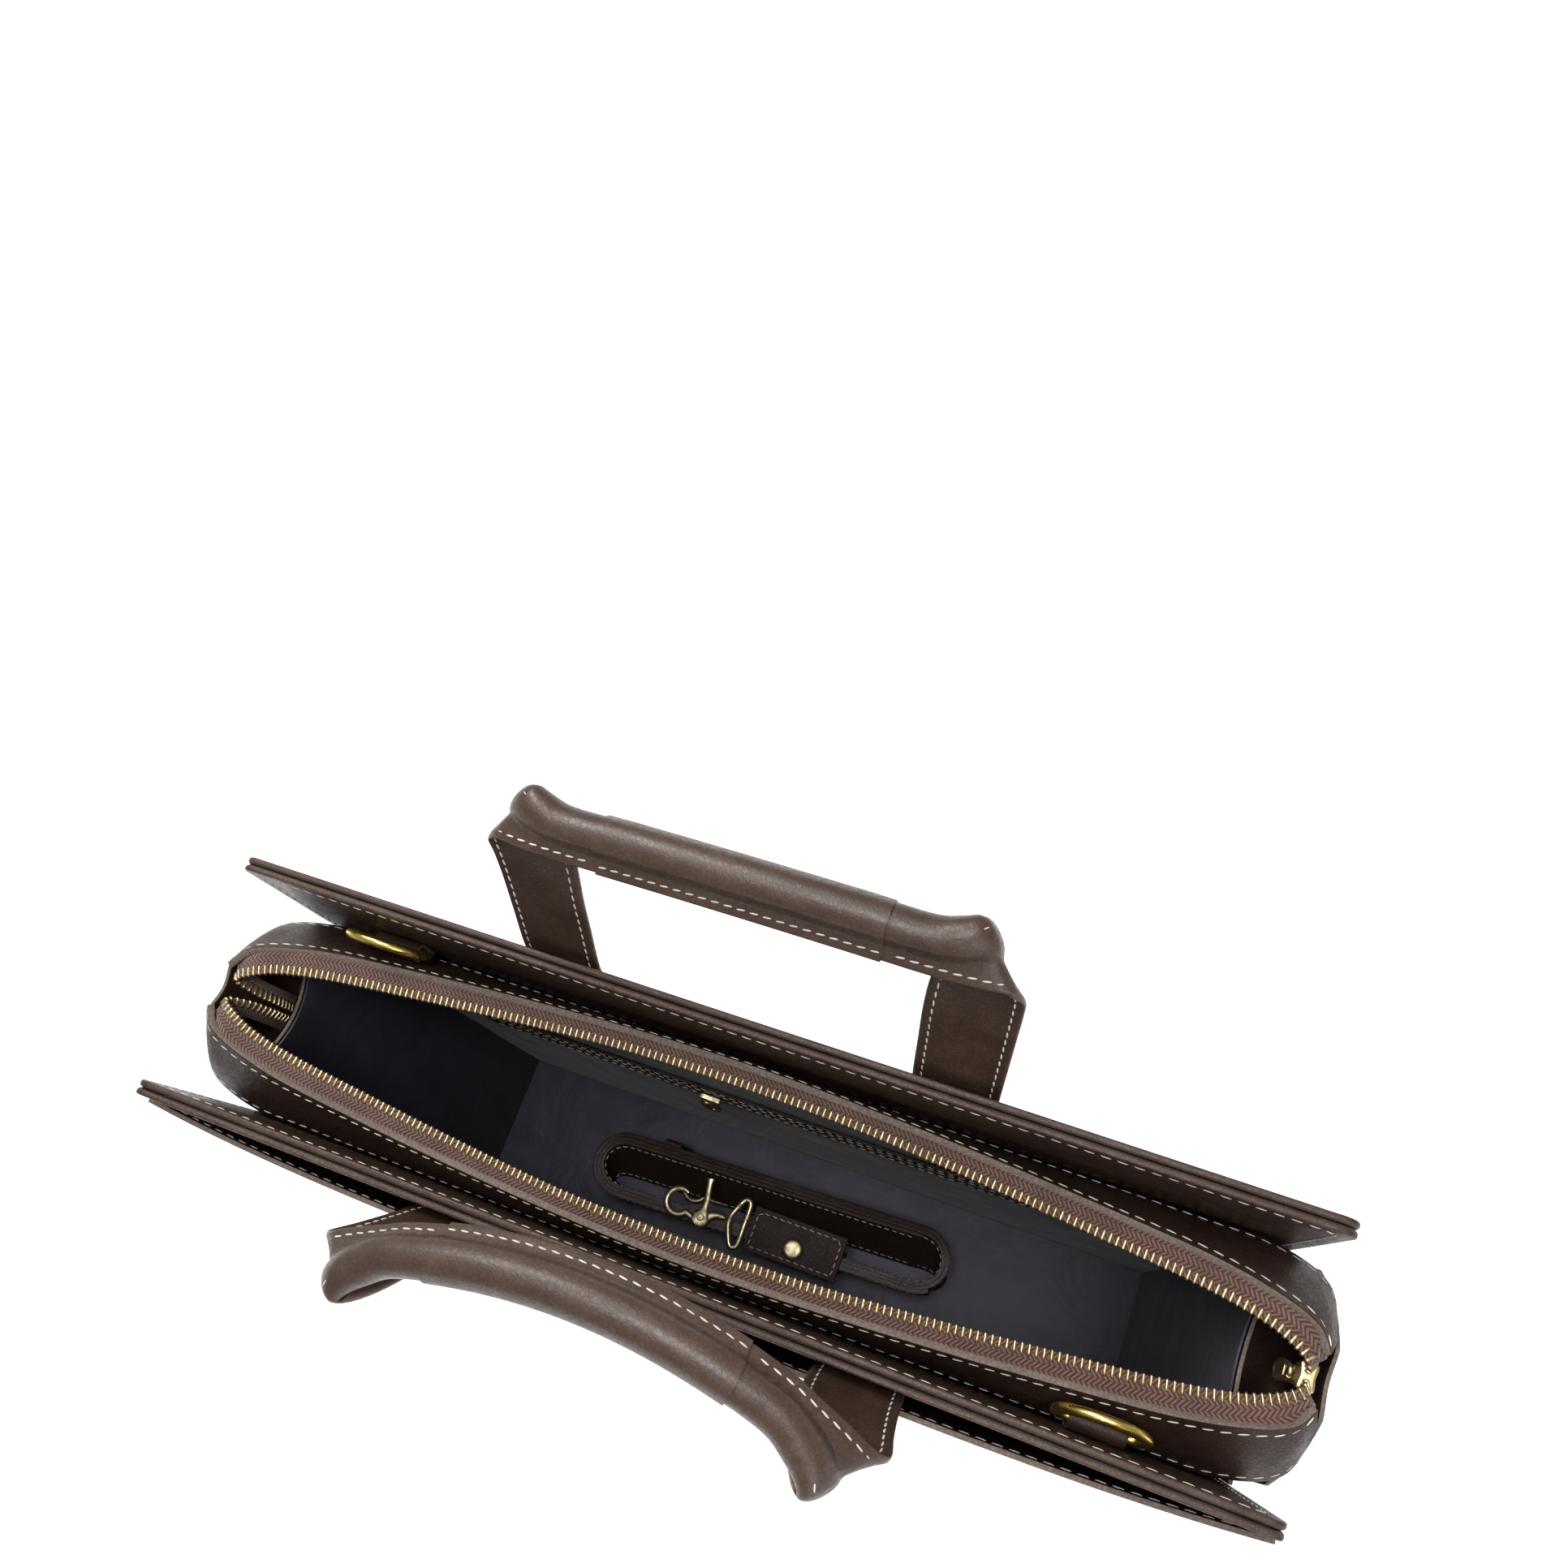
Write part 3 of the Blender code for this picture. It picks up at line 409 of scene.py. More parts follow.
def copies_of(name, shape, turns, places, materials):
    """One mesh from copies of a small shape, each with its own turn and place. The shape is removed."""
    source = points_of(shape)
    faces = [tuple(polygon.vertices) for polygon in shape.data.polygons]
    turns = np.asarray(turns, dtype=float)
    places = np.asarray(places, dtype=float)
    made = np.einsum("nij,kj->nki", turns, source) + places[:, None, :]
    rows = [[i + n * len(source) for i in face] for n in range(len(places)) for face in faces]
    mesh = bpy.data.meshes.new(name)
    mesh.from_pydata(made.reshape(-1, 3).tolist(), [], rows)
    piece = bpy.data.objects.new(name, mesh)
    bpy.context.scene.collection.objects.link(piece)
    bpy.data.objects.remove(shape, do_unlink=True)
    for material in materials:
        mesh.materials.append(material)
    make_active(piece)
    bpy.ops.object.shade_smooth()
    return piece


def frames_from(ahead, out):
    """Turns whose Y runs ahead along a line and whose Z points out of the surface."""
    ahead = unit(ahead)
    out = unit(out - ahead * np.sum(out * ahead, axis=1, keepdims=True))
    side = np.cross(ahead, out)
    return np.stack([side, ahead, out], axis=2)


def stitch_shape():
    s = sizes()
    wide = s.thread
    return unit_shape(
        (0.75 * wide, 1.45 * wide, 0.75 * wide),
        (0.6 * wide, 1.3 * wide, 0.6 * wide),
        s.stitch_length,
        (),
    )


def stitches(name, rows, pitch=None, slant=7.0, small=1.0):
    """Stitches along rows of (points, outward directions), each row a line on a surface."""
    s = sizes()
    pitch = pitch or s.stitch_pitch
    turns, places = [], []
    for points, out in rows:
        both = even_steps(np.hstack([points, out]), pitch)
        middle = (both[1:] + both[:-1]) / 2
        ahead = unit(both[1:, :3] - both[:-1, :3])
        normal = unit(middle[:, 3:])
        side = np.cross(ahead, normal)
        lean = math.radians(slant)
        turned = ahead * math.cos(lean) + side * math.sin(lean)
        frames = frames_from(turned, normal)
        scale = np.array([small, pitch / s.stitch_pitch, small])
        turns.append(frames * scale[None, None, :])
        places.append(middle[:, :3])
    return copies_of(name, stitch_shape(), np.vstack(turns), np.vstack(places), (thread_material(),))


def surface_row(place, u, v, side=1.0, lift=0.0):
    """A line on a shaped surface with its outward directions. side says which face is meant."""
    u, v = np.broadcast_arrays(np.asarray(u, dtype=float), np.asarray(v, dtype=float))
    small = 1e-3
    at = place(u, v)
    du = place(np.minimum(u + small, 1), v) - place(np.maximum(u - small, 0), v)
    dv = place(u, np.minimum(v + small, 1)) - place(u, np.maximum(v - small, 0))
    out = unit(np.cross(du, dv)) * side
    return at + out * lift, out


def facing_rows(place, lines, lift, towards):
    """Lines (u, v) on whichever face of a shaped surface looks towards the given direction."""
    rows = [surface_row(place, u, v, 1.0, lift) for u, v in lines]
    out = rows[0][1]
    if np.dot(out[len(out) // 2], towards) < 0:
        rows = [surface_row(place, u, v, -1.0, lift) for u, v in lines]
    return rows


def ripple(u, v, seed=0.0):
    """A slow, uneven wave from -1 to 1, the same each time."""
    return (
        np.sin(6.1 * u + 2.3 * v + seed)
        + 0.7 * np.sin(13.7 * u - 5.9 * v + 1.7 * seed + 1.0)
        + 0.45 * np.sin(27.3 * u + 11.1 * v + 2.9 * seed + 2.0)
    ) / 2.15


def mirror_y(piece, name):
    """A copy of a finished piece on the other side of the bag."""
    make_active(piece)
    bpy.ops.object.duplicate()
    twin = name_piece(name)
    set_points(twin, points_of(twin) * np.array([1, -1, 1]))
    with editing(twin):
        bpy.ops.mesh.flip_normals()
    return twin


def paint(node, material):
    """Gives a kept CAD node its finish."""
    piece = frame["nodes"][node]
    if not piece.data.materials:
        piece.data.materials.append(material)
    for slot in piece.material_slots:
        slot.material = material


def stand_for(piece, nodes, body, slot=None):
    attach(piece, body)
    if nodes:
        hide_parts(*nodes)
    if slot or nodes:
        slot or nodes[0]


# ---------------------------------------------------------------- shared shader groups

FINISH = (("Color", "NodeSocketColor"), ("Roughness", "NodeSocketFloat"), ("Normal", "NodeSocketVector"))


def new_group(name, inputs, outputs):
    group = bpy.data.node_groups.new(name, "ShaderNodeTree")
    for label, kind, value in inputs:
        socket = group.interface.new_socket(name=label, in_out="INPUT", socket_type=kind)
        if value is not None:
            socket.default_value = value
    for label, kind in outputs:
        group.interface.new_socket(name=label, in_out="OUTPUT", socket_type=kind)
    start = group.nodes.new("NodeGroupInput")
    end = group.nodes.new("NodeGroupOutput")
    return group, start.outputs, end.inputs


def add_node(tree, kind, inputs=None, **settings):
    node = tree.nodes.new(kind)
    for key, value in settings.items():
        setattr(node, key, value)
    for key, value in (inputs or {}).items():
        if isinstance(value, bpy.types.NodeSocket):
            tree.links.new(value, node.inputs[key])
        else:
            node.inputs[key].default_value = value
    return node


def maths(tree, operation, a, b=0.0, clamp=False):
    return add_node(tree, "ShaderNodeMath", {0: a, 1: b}, operation=operation, use_clamp=clamp).outputs[0]


def plus(tree, a, b, clamp=False):
    return maths(tree, "ADD", a, b, clamp)


def times(tree, a, b, clamp=False):
    return maths(tree, "MULTIPLY", a, b, clamp)


def noise(tree, at, scale, detail, roughness=0.5, distortion=0.0):
    """The grey value of a noise texture."""
    inputs = {"Vector": at, "Scale": scale, "Detail": detail, "Roughness": roughness, "Distortion": distortion}
    return add_node(tree, "ShaderNodeTexNoise", inputs).outputs["Fac"]


def raised(tree, height, distance, strength, below=None):
    """A bump's normal, on top of another where one is given."""
    inputs = {"Height": height, "Distance": distance, "Strength": strength}
    if below is not None:
        inputs["Normal"] = below
    return add_node(tree, "ShaderNodeBump", inputs).outputs[0]


def blend_colour(tree, share, a, b, kind="MIX"):
    node = tree.nodes.new("ShaderNodeMix")
    node.data_type = "RGBA"
    node.blend_type = kind
    for socket, value in ((node.inputs[0], share), (node.inputs[6], a), (node.inputs[7], b)):
        if isinstance(value, bpy.types.NodeSocket):
            tree.links.new(value, socket)
        else:
            socket.default_value = value
    return node.outputs[2]


def grade(tree, value, low, high, to_low=0.0, to_high=1.0):
    inputs = {"Value": value, "From Min": low, "From Max": high, "To Min": to_low, "To Max": to_high}
    return add_node(tree, "ShaderNodeMapRange", inputs).outputs[0]


def grain_group():
    """Leather grain: pores, fine creases, mottled dye and rubbed high places."""
    if "Leather grain" in bpy.data.node_groups:
        return bpy.data.node_groups["Leather grain"]
    group, given, put = new_group(
        "Leather grain",
        (
            ("Dye", "NodeSocketColor", (0.03, 0.02, 0.015, 1)),
            ("Worn", "NodeSocketColor", (0.1, 0.07, 0.05, 1)),
            ("Grain", "NodeSocketFloat", 1.0),
            ("Rubbed", "NodeSocketFloat", 0.3),
            ("Gloss", "NodeSocketFloat", 0.42),
            ("Crease", "NodeSocketFloat", 0.5),
        ),
        FINISH,
    )
    at = add_node(group, "ShaderNodeTexCoord").outputs["Object"]
    bend = add_node(group, "ShaderNodeTexNoise", {"Vector": at, "Scale": 60.0, "Detail": 3.0})
    shift = {0: bend.outputs["Color"], 1: (0.004, 0.004, 0.004)}
    moved = add_node(group, "ShaderNodeVectorMath", shift, operation="MULTIPLY").outputs[0]
    warped = add_node(group, "ShaderNodeVectorMath", {0: at, 1: moved}, operation="ADD").outputs[0]
    pores = add_node(group, "ShaderNodeTexVoronoi", {"Vector": warped, "Scale": 950.0}, feature="F1")
    cell = {"Vector": warped, "Scale": 520.0}
    cells = add_node(group, "ShaderNodeTexVoronoi", cell, feature="DISTANCE_TO_EDGE")
    fine = noise(group, warped, 1500.0, 4.0, 0.6)
    crease = noise(group, at, 55.0, 8.0, 0.72, 1.2)
    dye = noise(group, at, 16.0, 6.0, 0.62)
    small_dye = noise(group, at, 120.0, 5.0, 0.6)
    rubbed = add_node(group, "ShaderNodeAttribute", attribute_name="rubbed")
    mottle = grade(group, dye, 0.40, 0.68)
    speck = grade(group, small_dye, 0.42, 0.70)
    spread = plus(group, times(group, mottle, 0.55), times(group, speck, 0.3))
    share = times(group, spread, given["Rubbed"])
    broken = grade(group, small_dye, 0.35, 0.6, 0.35, 1.0)
    share = plus(group, share, times(group, rubbed.outputs["Fac"], broken), True)
    colour = blend_colour(group, share, given["Dye"], given["Worn"])
    pits = grade(group, pores.outputs["Distance"], 0.05, 0.5)
    lines = grade(group, cells.outputs["Distance"], 0.0, 0.18)
    dark = plus(group, times(group, maths(group, "MINIMUM", pits, lines), 0.35), 0.65)
    grey = add_node(group, "ShaderNodeCombineColor", {0: dark, 1: dark, 2: dark}).outputs[0]
    colour = blend_colour(group, 1.0, colour, grey, "MULTIPLY")
    group.links.new(colour, put["Color"])
    rough = plus(group, given["Gloss"], times(group, maths(group, "SUBTRACT", speck, 0.5), 0.12))
    rough = plus(group, rough, times(group, maths(group, "SUBTRACT", 1.0, lines), 0.12))
    group.links.new(rough, put["Roughness"])
    height = plus(group, times(group, pits, 0.45), times(group, lines, 0.5))
    height = plus(group, height, times(group, fine, 0.5))
    skin = raised(group, height, 0.00012, given["Grain"])
    group.links.new(raised(group, crease, 0.0012, given["Crease"], skin), put["Normal"])
    return group


def metal_group():
    """Cast and plated metal: dull tarnish in patches, fine scratches and a slightly uneven skin."""
    if "Aged metal" in bpy.data.node_groups:
        return bpy.data.node_groups["Aged metal"]
    group, given, put = new_group(
        "Aged metal",
        (
            ("Metal", "NodeSocketColor", (0.5, 0.4, 0.2, 1)),
            ("Tarnish", "NodeSocketColor", (0.08, 0.06, 0.035, 1)),
            ("Amount", "NodeSocketFloat", 0.4),
            ("Gloss", "NodeSocketFloat", 0.28),
        ),
        FINISH,
    )
    at = add_node(group, "ShaderNodeTexCoord").outputs["Object"]
    patches = noise(group, at, 240.0, 6.0, 0.65)
    scratch_at = add_node(group, "ShaderNodeMapping", {"Vector": at, "Scale": (1.0, 0.12, 0.5)})
    scratch = noise(group, scratch_at.outputs[0], 2600.0, 3.0)
    share = times(group, grade(group, patches, 0.42, 0.7), given["Amount"], True)
    group.links.new(blend_colour(group, share, given["Metal"], given["Tarnish"]), put["Color"])
    rough = plus(group, given["Gloss"], times(group, share, 0.35))
    rough = plus(group, rough, times(group, scratch, 0.08))
    group.links.new(rough, put["Roughness"])
    skin = raised(group, patches, 0.00025, 0.5)
    group.links.new(raised(group, scratch, 0.00003, 0.6, skin), put["Normal"])
    return group


def weave_group():
    """Herringbone weave on a UV map in metres: ribs that lean one way, then the other."""
    if "Herringbone weave" in bpy.data.node_groups:
        return bpy.data.node_groups["Herringbone weave"]
    group, given, put = new_group(
        "Herringbone weave",
        (
            ("Yarn", "NodeSocketColor", (0.16, 0.08, 0.06, 1)),
            ("Shade", "NodeSocketColor", (0.06, 0.025, 0.02, 1)),
            ("Column", "NodeSocketFloat", 0.0013),
            ("Rib", "NodeSocketFloat", 0.0009),
        ),
        FINISH,
    )
    uv = add_node(group, "ShaderNodeTexCoord").outputs["UV"]
    parts = add_node(group, "ShaderNodeSeparateXYZ", {"Vector": uv}).outputs
    fold = maths(group, "PINGPONG", maths(group, "DIVIDE", parts["Y"], given["Column"]), 1.0)
    run = plus(group, maths(group, "DIVIDE", parts["X"], given["Rib"]), times(group, fold, 1.25))
    rib = maths(group, "PINGPONG", times(group, run, 2.0), 1.0)
    seam = grade(group, maths(group, "PINGPONG", fold, 0.5), 0.0, 0.12)
    at = add_node(group, "ShaderNodeTexCoord").outputs["Object"]
    fuzz = noise(group, at, 2200.0, 3.0)
    patch = noise(group, at, 90.0, 3.0)
    high = times(group, grade(group, rib, 0.1, 0.75), plus(group, times(group, seam, 0.4), 0.6))
    tone = times(group, high, grade(group, plus(group, fuzz, patch), 0.6, 1.35, 0.45, 1.15), True)
    group.links.new(blend_colour(group, tone, given["Shade"], given["Yarn"]), put["Color"])
    group.links.new(grade(group, fuzz, 0.0, 1.0, 0.72, 0.92), put["Roughness"])
    height = plus(group, high, times(group, fuzz, 0.4))
    group.links.new(raised(group, height, 0.0005, 1.0), put["Normal"])
    return group


def principled(name, specular=0.5, metallic=0.0, **settings):
    """A new material with its Principled shader. Settings are plain values on its own sockets."""
    material = bpy.data.materials.new(name)
    material.use_nodes = True
    shader = material.node_tree.nodes["Principled BSDF"]
    shader.inputs["Specular IOR Level"].default_value = specular
    shader.inputs["Metallic"].default_value = metallic
    for key, value in settings.items():
        shader.inputs[key.replace("_", " ")].default_value = value
    return material, shader


def use_group(material, shader, group, values):
    tree = material.node_tree
    node = tree.nodes.new("ShaderNodeGroup")
    node.node_tree = group
    for key, value in values.items():
        node.inputs[key].default_value = value
    tree.links.new(node.outputs["Color"], shader.inputs["Base Color"])
    tree.links.new(node.outputs["Roughness"], shader.inputs["Roughness"])
    tree.links.new(node.outputs["Normal"], shader.inputs["Normal"])
    return material


def rgba(colour, scale=1.0):
    return (*(min(1.0, part * scale) for part in colour), 1.0)


def once(make):
    """Makes a material the first time it is asked for, and gives the same one afterwards."""
    kept = {}

    def ask():
        if make.__name__ not in kept:
            kept[make.__name__] = make()
        return kept[make.__name__]

    return ask


def leather_finish(name, specular, dye, worn, look, **coat):
    """A leather. Its look is how strong the grain is, how rubbed, how rough and how creased."""
    material, shader = principled(name, specular, **coat)
    values = dict(zip(("Dye", "Worn", "Grain", "Rubbed", "Gloss", "Crease"), (dye, worn, *look)))
    return use_group(material, shader, grain_group(), values)


def woven_finish(name, yarn, shade, column, rib, **sheen):
    material, shader = principled(name, 0.2, **sheen)
    values = {"Yarn": yarn, "Shade": shade, "Column": column, "Rib": rib}
    return use_group(material, shader, weave_group(), values)


@once
def body_leather():
    c = colours()
    coat = {"Coat_Weight": 0.06, "Coat_Roughness": 0.32}
    look = (0.45, 0.35, 0.44, 0.16)
    return leather_finish("Body leather", 0.22, rgba(c.leather), rgba(c.leather_high), look, **coat)


@once
def strip_leather():
    c = colours()
    coat = {"Coat_Weight": 0.05, "Coat_Roughness": 0.36}
    look = (0.6, 0.5, 0.47, 0.35)
    return leather_finish("Zip strip leather", 0.22, rgba(c.leather, 1.15), rgba(c.leather_high), look, **coat)


@once
def grip_leather():
    c = colours()
    coat = {"Coat_Weight": 0.14, "Coat_Roughness": 0.3}
    look = (0.4, 0.75, 0.42, 0.3)
    return leather_finish("Grip leather", 0.38, rgba(c.grip), rgba(c.leather_high, 1.25), look, **coat)


@once
def strap_leather():
    """A coarser, drier grain."""
    c = colours()
    look = (1.0, 0.3, 0.56, 0.45)
    return leather_finish("Strap leather", 0.22, rgba(c.leather, 1.3), rgba(c.leather_high, 0.9), look)


@once
def cut_edge():
    c = colours()
    return leather_finish("Cut leather edge", 0.3, rgba(c.edge), rgba(c.edge, 1.5), (1.0, 0.8, 0.6, 0.6))


@once
def dark_edge():
    c = colours()
    look = (0.5, 0.6, 0.5, 0.4)
    return leather_finish("Painted leather edge", 0.4, rgba(c.leather, 1.3), rgba(c.edge, 0.8), look)


def metal_material(name, colour, tarnish, amount, gloss):
    material, shader = principled(name, 0.5, 1.0)
    values = {"Metal": rgba(colour), "Tarnish": rgba(tarnish), "Amount": amount, "Gloss": gloss}
    return use_group(material, shader, metal_group(), values)


@once
def tooth_brass():
    return metal_material("Tooth brass", colours().brass, (0.12, 0.085, 0.04), 0.55, 0.3)


@once
def ring_brass():
    return metal_material("Ring plating", colours().bright, (0.30, 0.18, 0.04), 0.3, 0.2)


@once
def hook_brass():
    return metal_material("Old brass", colours().old_brass, (0.09, 0.07, 0.045), 0.7, 0.32)


@once
def thread_material():
    material, shader = principled("Waxed thread", 0.3, Sheen_Weight=0.2)
    tree = material.node_tree
    at = add_node(tree, "ShaderNodeTexCoord").outputs["Object"]
    share = grade(tree, noise(tree, at, 45.0, 4.0), 0.35, 0.75)
    twist = noise(tree, at, 1900.0, 2.0)
    colour = blend_colour(tree, share, rgba(colours().thread), rgba(colours().thread, 0.55))
    tree.links.new(colour, shader.inputs["Base Color"])
    tree.links.new(grade(tree, twist, 0.0, 1.0, 0.5, 0.8), shader.inputs["Roughness"])
    tree.links.new(raised(tree, twist, 0.0002, 0.8), shader.inputs["Normal"])
    return material


@once
def zip_tape():
    c = colours()
    sheen = {"Sheen_Weight": 0.25, "Sheen_Roughness": 0.5}
    return woven_finish("Zip tape", rgba(c.tape), rgba(c.tape, 0.16), 0.0021, 0.0017, **sheen)


@once
def dark_tape():
    yarn, shade = (0.03, 0.024, 0.022, 1), (0.008, 0.006, 0.006, 1)
    return woven_finish("Inner zip tape", yarn, shade, 0.0012, 0.0009, Sheen_Weight=0.2)


@once
def lining_cloth():
    """A close, satin-faced cloth. Its colour holds painted shade and light on the folds: darker in the hollows
    of the fold bump, lighter on its ridges.
    """
    c = colours()
    material, shader = principled("Lining cloth", 0.3, Sheen_Weight=0.08, Sheen_Roughness=0.35)
    tree = material.node_tree
    at = add_node(tree, "ShaderNodeTexCoord").outputs["Object"]
    stretched = add_node(tree, "ShaderNodeMapping", {"Vector": at, "Scale": (1.0, 1.0, 0.35)}).outputs[0]
    yarn = noise(tree, stretched, 3200.0, 2.0)
    fold_height_and_painted_shade = noise(tree, at, 26.0, 6.0, 0.55, 0.6)
    # Painted shade and light: the noise that bumps the folds also darkens the cloth's colour in their hollows
    # and lightens it on their ridges.
    tone = grade(tree, fold_height_and_painted_shade, 0.3, 0.75)
    colour = blend_colour(tree, tone, rgba(c.lining, 0.8), rgba(c.lining, 1.7))
    tree.links.new(colour, shader.inputs["Base Color"])
    tree.links.new(grade(tree, yarn, 0.2, 0.8, 0.42, 0.58), shader.inputs["Roughness"])
    skin = raised(tree, yarn, 0.00008, 0.6)
    tree.links.new(raised(tree, fold_height_and_painted_shade, 0.004, 0.35, skin), shader.inputs["Normal"])
    return material


@once
def pressed_board():
    fibre, worn = (0.07, 0.052, 0.038, 1), (0.12, 0.09, 0.065, 1)
    return leather_finish("Pressed leatherboard", 0.2, fibre, worn, (0.7, 0.7, 0.8, 0.3))


@once
def cotton_rope():
    return woven_finish("Cotton rope", (0.42, 0.36, 0.27, 1), (0.18, 0.14, 0.1, 1), 0.003, 0.002)


# ---------------------------------------------------------------- stage


class BriefcaseStage(bpy.types.Operator):
    """Floor, studio light and camera"""

    bl_idname = "briefcase.stage"
    bl_label = "Stage"

    def execute(self, context):
        clear_selection()
        bpy.ops.mesh.primitive_plane_add(size=14.0, location=(0, 0, -0.0004))
        floor = name_piece("studio_floor")
        material, shader = principled("Studio floor", 0.1)
        tree = material.node_tree
        at = add_node(tree, "ShaderNodeTexCoord").outputs["Object"]
        tone = grade(tree, noise(tree, at, 1.2, 2.0), 0.3, 0.7)
        colour = blend_colour(tree, tone, rgba(colours().backdrop, 0.985), rgba(colours().backdrop))
        tree.links.new(colour, shader.inputs["Base Color"])
        shader.inputs["Roughness"].default_value = 0.9
        shader.inputs["Emission Color"].default_value = rgba(colours().backdrop)
        shader.inputs["Emission Strength"].default_value = 0.5
        floor.data.materials.append(material)

        world = bpy.data.worlds.new("Studio")
        world.use_nodes = True
        world.node_tree.nodes["Background"].inputs["Color"].default_value = (0.96, 0.98, 1.0, 1.0)
        world.node_tree.nodes["Background"].inputs["Strength"].default_value = 0.34
        context.scene.world = world
        self.add_light("key_light", (-0.8, 0.7, 1.6), (0, 0, 0.25), 0.8, 27.0, (1.0, 0.985, 0.96))
        self.add_light("fill_light", (1.3, -1.1, 1.2), (0, 0, 0.2), 1.2, 15.0, (0.97, 0.985, 1.0))
        self.add_light("top_light", (0.1, -0.02, 1.6), (0, 0, 0.2), 0.6, 16.0, (0.98, 0.985, 1.0))

        camera_data = bpy.data.cameras.new("studio_camera")
        camera_data.lens = 26.82
        camera_data.sensor_width = 36.0
        camera_data.shift_y = 0.12
        camera_data.clip_start = 0.01
        camera_data.clip_end = 50.0
        camera = bpy.data.objects.new("studio_camera", camera_data)
        context.scene.collection.objects.link(camera)
        right = Vector((0.930237, 0.339956, -0.138164))
        down = Vector((0.294507, -0.916248, -0.271578))
        ahead = Vector((-0.218918, 0.211942, -0.952447))
        turn = Matrix((right, -down, -ahead)).transposed().to_4x4()
        camera.matrix_world = Matrix.Translation((0.093648, -0.017174, 0.672331)) @ turn
        context.scene.camera = camera
        context.scene.view_settings.view_transform = "Standard"
        return {"FINISHED"}

    def add_light(self, name, place, target, size, power, colour):
        data = bpy.data.lights.new(name, "AREA")
        data.shape = "DISK"
        data.size = size
        data.energy = power
        data.color = colour
        light = bpy.data.objects.new(name, data)
        light.location = place
        light.rotation_euler = (Vector(place) - Vector(target)).to_track_quat("Z", "Y").to_euler()
        bpy.context.scene.collection.objects.link(light)


# ---------------------------------------------------------------- panels and base


def rub_edges(piece, low, high, reach):
    """Marks how close each point is to the edge of a board, for the rubbed finish."""
    points = points_of(piece)
    near = np.minimum.reduce([points[:, 0] - low[0], high[0] - points[:, 0], high[2] - points[:, 2]])
    value = np.clip(1 - near / reach, 0, 1) ** 2
    attribute = piece.data.attributes.new("rubbed", "FLOAT", "POINT")
    attribute.data.foreach_set("value", value.astype(np.float32))


class BriefcasePanels(bpy.types.Operator):
    """The two stiff sides: turned leather on both faces with a groove between their lips"""

    bl_idname = "briefcase.panels"
    bl_label = "Panels"

    def execute(self, context):
        for side, name in ((1, "rear"), (-1, "front")):
            for layer in ("outer", "inner"):
                node = f"{name}_{layer}_panel"
                low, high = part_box(node)
                piece = board(f"{node}_leather", low, high, 6 * MM, sizes().lip, (body_leather(),))
                rub_edges(piece, low, high, 2.2 * MM)
                stand_for(piece, (node,), "bag")
                self.lip(node, low, high, side if layer == "outer" else -side)
            paint(f"{name}_panel_board", pressed_board())
            self.sew(name, side)
        return {"FINISHED"}

    def lip(self, node, low, high, faces):
        """The turned edge of one leather: a rounded bead that meets its neighbour in a fine groove."""
        radius = 1.3 * MM
        y = high.y - radius if faces > 0 else low.y + radius
        x, top, bend = HALF_LENGTH - radius, TOP - radius, 4.7 * MM
        turn = np.linspace(0, math.pi / 2, 9)
        corner = [(x - bend + bend * math.sin(a), top - bend + bend * math.cos(a)) for a in turn]
        straight = [(x, z) for z in np.linspace(top - bend - 4 * MM, 3 * MM, 40)]
        across = [(at, top) for at in np.linspace(0, x - bend - 3 * MM, 50)]
        half = np.array([*across, *corner, *straight])
        line = np.vstack([half[::-1] * np.array([-1, 1]), half[1:]])
        path = np.stack([line[:, 0], np.full(len(line), y), line[:, 1]], axis=1)
        piece = swept(f"{node}_lip", path, round_section(radius), (dark_edge(),), up=(0, 1, 0))
        stand_for(piece, (), "bag", node)

    def sew(self, name, side):
        inset = 5.0 * MM
        x, top = HALF_LENGTH - inset, TOP - inset
        r = 4 * MM
        corner = [(x - r + r * math.sin(a), top - r + r * math.cos(a)) for a in np.linspace(0, math.pi / 2, 7)]
        line = [(-x, 0.012)] + [(-cx, cz) for cx, cz in corner[::-1]] + corner + [(x, 0.012)]
        rows = []
        for layer, faces in (("inner", -side), ("outer", side)):
            low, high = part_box(f"{name}_{layer}_panel")
            inward = faces < 0
            y = low.y if inward else high.y
            points = np.array([(px, y, pz) for px, pz in line])
            points = even_steps(points, 1 * MM)
            rows.append((points, np.tile((0.0, float(faces), 0.0), (len(points), 1))))
        piece = stitches(f"{name}_panel_stitching", rows)
        stand_for(piece, (), "bag")


